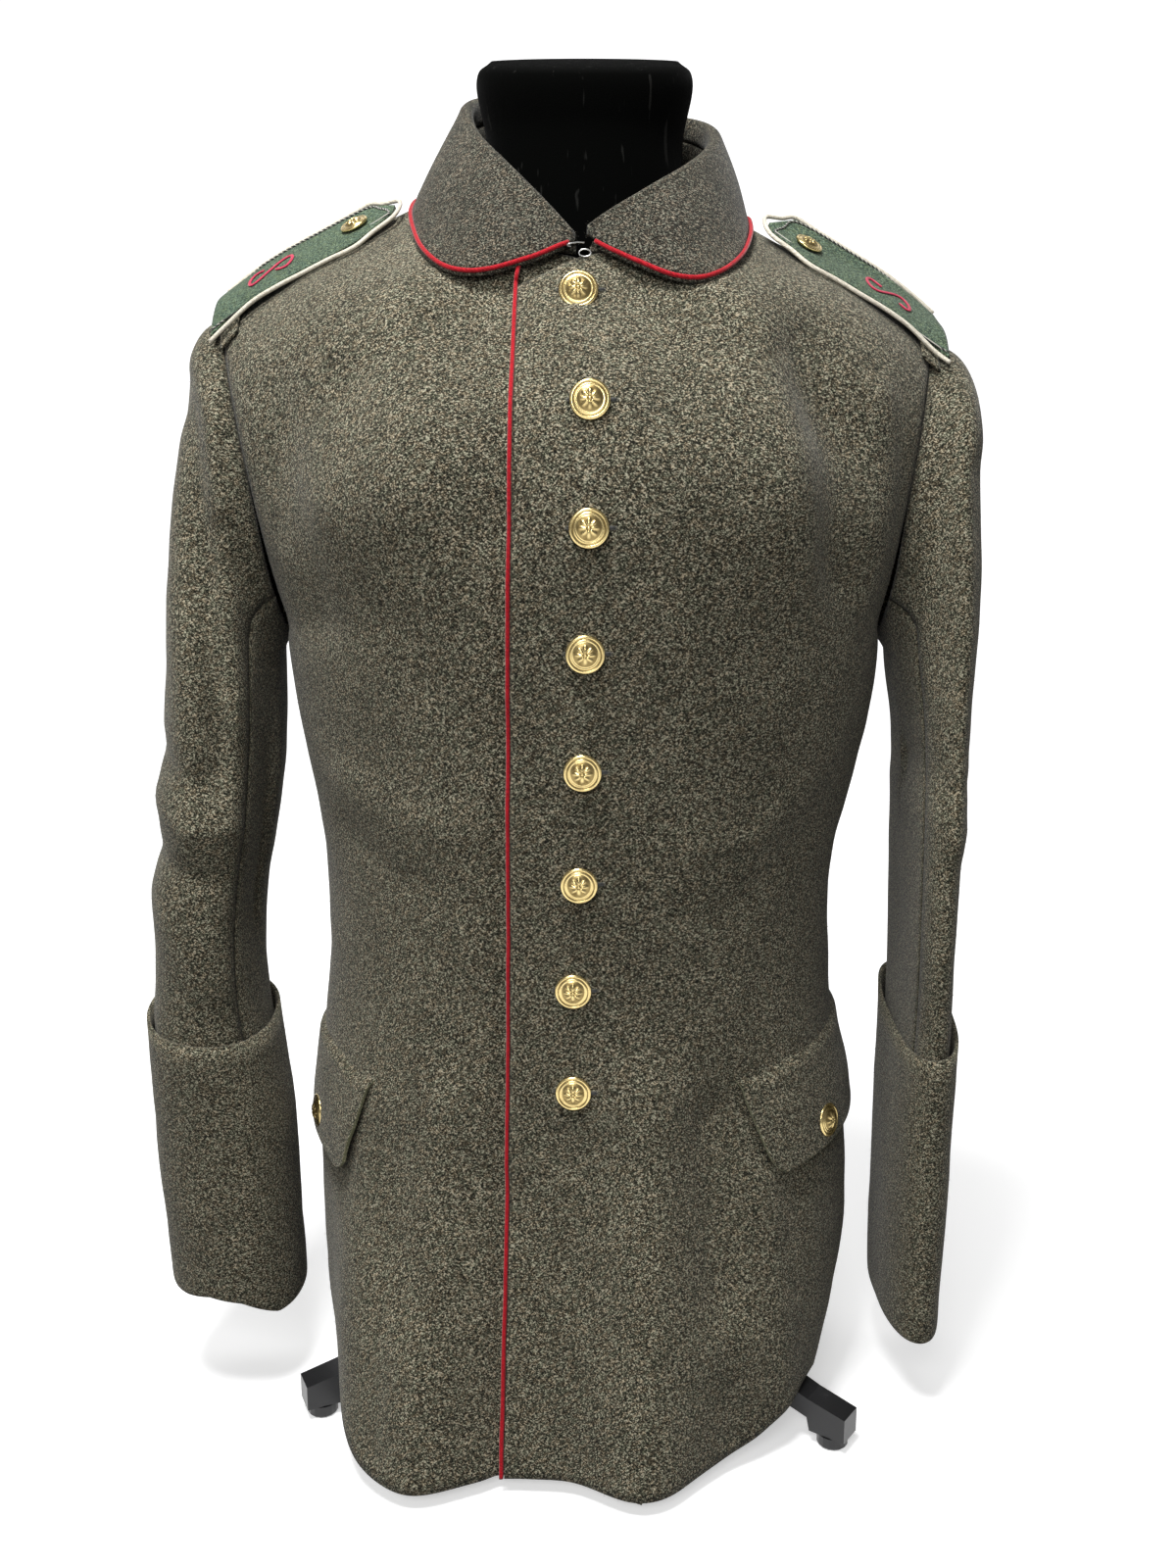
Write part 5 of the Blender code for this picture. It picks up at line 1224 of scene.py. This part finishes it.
class TUNIC_OT_buttons(Step, bpy.types.Operator):
    """Makes the domed brass buttons and the worked buttonholes behind them"""

    bl_idname = "tunic.buttons"
    bl_label = "Buttons and buttonholes"

    def work(self, sizes):
        for node in BUTTONS:
            brass_button(node)
        tree = tree_of(CLOTH["front_left"])
        stitch = bar_link(*HOLE_STITCH)
        half = sizes.buttonhole / 2
        holes = []
        for node in FRONT_BUTTONS:
            back = button_frame(node)[0]
            middle = back.x + HOLE_ASIDE
            line, out, slit = [], [], []
            for k in range(HOLE_POINTS):
                a = 2 * math.pi * k / HOLE_POINTS
                along = half * math.copysign(abs(math.cos(a)) ** HOLE_SQUARE, math.cos(a))
                hit, normal = spot_on(tree, middle + along, back.z + HOLE_HALF * math.sin(a))
                line.append(hit + normal * 0.0001)
                out.append(normal)
            for along in np.linspace(-half, half, 15):
                slit.append(spot_on(tree, middle + along * 0.94, back.z)[0])
            # a dark tube in the slit, a painted shade where the cut opens
            dark = tube("slit", slit, HOLE_SHADE_RADIUS, 8)
            dark.data.materials.append(MATERIALS["dark_thread"])
            # each stitch lies along the slit's edge
            holes += [dark, repeated("ring", line, out, stitch, HOLE_STEP, "grey_thread", closed=True)]
        bpy.data.objects.remove(stitch)
        carried(joined("front_buttonholes", holes))


class TUNIC_OT_fuzz(Step, bpy.types.Operator):
    """Raises short wool fibres over the cloth"""

    bl_idname = "tunic.fuzz"
    bl_label = "Wool fuzz"

    def work(self, sizes):
        hair = hair_shape(sizes.fibre_length, sizes.fibre_width)
        for name, parts, material, seed in (
            ("body_fuzz", ("front", "back"), "tunic_wool", 11),
            ("sleeve_fuzz", ("sleeve_upper", "cuff"), "tunic_wool", 12),
            ("collar_fuzz", ("collar_fall", "flap"), "collar_wool", 13),
        ):
            nodes = [node for part in parts for node in nodes_of(part)]
            surface = joined("surface", [new_object(node, CLOTH[node].data.copy()) for node in nodes])
            settle(scattered(name, surface, hair, sizes.fibre_density, seed, material), material)
            bpy.data.objects.remove(surface)
        bpy.data.objects.remove(hair)


class TUNIC_OT_form(Step, bpy.types.Operator):
    """Finishes the dress form: velvet neck block, linen torso and enamelled stand"""

    bl_idname = "tunic.form"
    bl_label = "Dress form"

    def work(self, sizes):
        settle(softened("form_neck", "form_neck_velvet", FINE_LEVEL), "black_velvet", node="form_neck")
        for node, obj in NODES.items():
            if node.startswith("form") and node != "form_neck":
                material = "form_linen" if node == "form_torso" else "black_metal"
                obj.data.materials.clear()
                obj.data.materials.append(MATERIALS[material])


class TUNIC_OT_stage(Step, bpy.types.Operator):
    """Sets the pale floor, the soft lights and the camera"""

    bl_idname = "tunic.stage"
    bl_label = "Stage, lights and camera"

    def work(self, sizes):
        bend = np.linspace(0, math.pi / 2, 17)[1:]
        run = [(FLOOR_FRONT, 0), (FLOOR_BACK, 0)]
        run += [(FLOOR_BACK + BACKDROP_BEND * math.sin(a), BACKDROP_BEND * (1 - math.cos(a))) for a in bend]
        run.append((FLOOR_BACK + BACKDROP_BEND, BACKDROP_TOP))
        points = [(x, y, z) for x in (-FLOOR_SIDE, FLOOR_SIDE) for y, z in run]
        n = len(run)
        faces = [(i, n + i, n + i + 1, i + 1) for i in range(n - 1)]
        mesh = bpy.data.meshes.new("floor")
        mesh.from_pydata(points, [], faces)
        floor = new_object("floor", mesh)
        paint = Paint("pale_floor", roughness=0.9, specular_ior_level=0.1, emission_strength=0.46)
        paint.shader.inputs["Emission Color"].default_value = rgb(1, 1, 1)
        mesh.materials.append(paint.feed(base_color=paint.mix(
            paint.noise(0.4, 2.0), rgb(0.86, 0.86, 0.86), rgb(0.88, 0.88, 0.88))))
        mesh.polygons.foreach_set("use_smooth", [True] * len(mesh.polygons))
        floor.visible_diffuse = False  # the white floor throws no light up under the skirt
        world = bpy.data.worlds.new("studio")
        world.use_nodes = True
        world.node_tree.nodes["Background"].inputs["Color"].default_value = rgb(1, 1, 1)
        world.node_tree.nodes["Background"].inputs["Strength"].default_value = sizes.room_light
        bpy.context.scene.world = world
        for lamp in LAMPS:
            light = bpy.data.lights.new(lamp.name, "AREA")
            light.energy, light.size = sizes.key_light * lamp.share, lamp.size
            holder = new_object(lamp.name, light)
            holder.location = lamp.spot
            aim = Vector(lamp.aim) - Vector(lamp.spot)
            holder.rotation_euler = aim.to_track_quat("-Z", "Y").to_euler()
        camera = bpy.data.cameras.new("camera")
        camera.lens, camera.sensor_width = CAMERA_LENS, CAMERA_SENSOR
        holder = new_object("camera", camera)
        holder.location = CAMERA_SPOT
        holder.rotation_euler = (math.pi / 2 - CAMERA_DOWN, 0, 0)
        bpy.context.scene.camera = holder
        bpy.context.scene.view_settings.view_transform = "Standard"


class TUNIC_OT_declare(Step, bpy.types.Operator):
    """Works out each cloth piece's flat cut area, and keeps none of it"""

    bl_idname = "tunic.declare"
    bl_label = "Flat cuts"

    def work(self, sizes):
        for part, cut in CUTS.items():
            for node in nodes_of(part):
                cut.width * cut.length * cut.share


class TUNIC_PG_sizes(bpy.types.PropertyGroup):
    """Sizes and light that someone dressing the tunic would change"""

    border_inset: bpy.props.FloatProperty(
        name="Border inset", description="From a strap's edge in to its twisted cord",
        default=0.0030, min=0, unit="LENGTH")
    border_radius: bpy.props.FloatProperty(
        name="Border cord radius", description="Half the twisted cord's thickness",
        default=0.00062, min=0, unit="LENGTH")
    loop_from_end: bpy.props.FloatProperty(
        name="Loop from end", description="From a strap's outer end to the middle of its stitched loop",
        default=0.034, min=0, unit="LENGTH")
    buttonhole: bpy.props.FloatProperty(
        name="Buttonhole", description="Length of a front buttonhole", default=0.0262, min=0, unit="LENGTH")
    fibre_length: bpy.props.FloatProperty(
        name="Fibre length", description="Length of a loose wool fibre", default=0.0022, min=0, unit="LENGTH")
    fibre_width: bpy.props.FloatProperty(
        name="Fibre width", description="Thickness of a loose wool fibre",
        default=0.00014, min=0, unit="LENGTH")
    fibre_density: bpy.props.FloatProperty(
        name="Fibre density", description="Loose fibres on each square metre of cloth", default=8400, min=0)
    key_light: bpy.props.FloatProperty(
        name="Key light", description="Strength of the main soft light", default=38.0, min=0, subtype="POWER")
    room_light: bpy.props.FloatProperty(
        name="Room light", description="Strength of the white room round the stage", default=0.20, min=0)


STEPS = (
    TUNIC_OT_body, TUNIC_OT_sleeves, TUNIC_OT_collar, TUNIC_OT_front_edge, TUNIC_OT_flaps, TUNIC_OT_straps,
    TUNIC_OT_buttons, TUNIC_OT_fuzz, TUNIC_OT_form, TUNIC_OT_declare, TUNIC_OT_stage,
)


class TUNIC_PT_panel(bpy.types.Panel):
    """Lists the tunic's sizes and steps"""

    bl_idname = "TUNIC_PT_panel"
    bl_label = "Field tunic"
    bl_space_type = "VIEW_3D"
    bl_region_type = "UI"
    bl_category = "Tunic"

    def draw(self, context):
        for name in TUNIC_PG_sizes.__annotations__:
            self.layout.prop(context.scene.tunic_sizes, name)
        for step in STEPS:
            self.layout.operator(step.bl_idname)


CLASSES = (TUNIC_PG_sizes, *STEPS, TUNIC_PT_panel)


def register():
    for cls in CLASSES:
        bpy.utils.register_class(cls)
    bpy.types.Scene.tunic_sizes = bpy.props.PointerProperty(type=TUNIC_PG_sizes)


def unregister():
    del bpy.types.Scene.tunic_sizes
    for cls in reversed(CLASSES):
        bpy.utils.unregister_class(cls)


def main():
    register()
    for step in STEPS:
        getattr(bpy.ops.tunic, step.bl_idname.split(".")[1])()


if __name__ == "__main__":
    main()
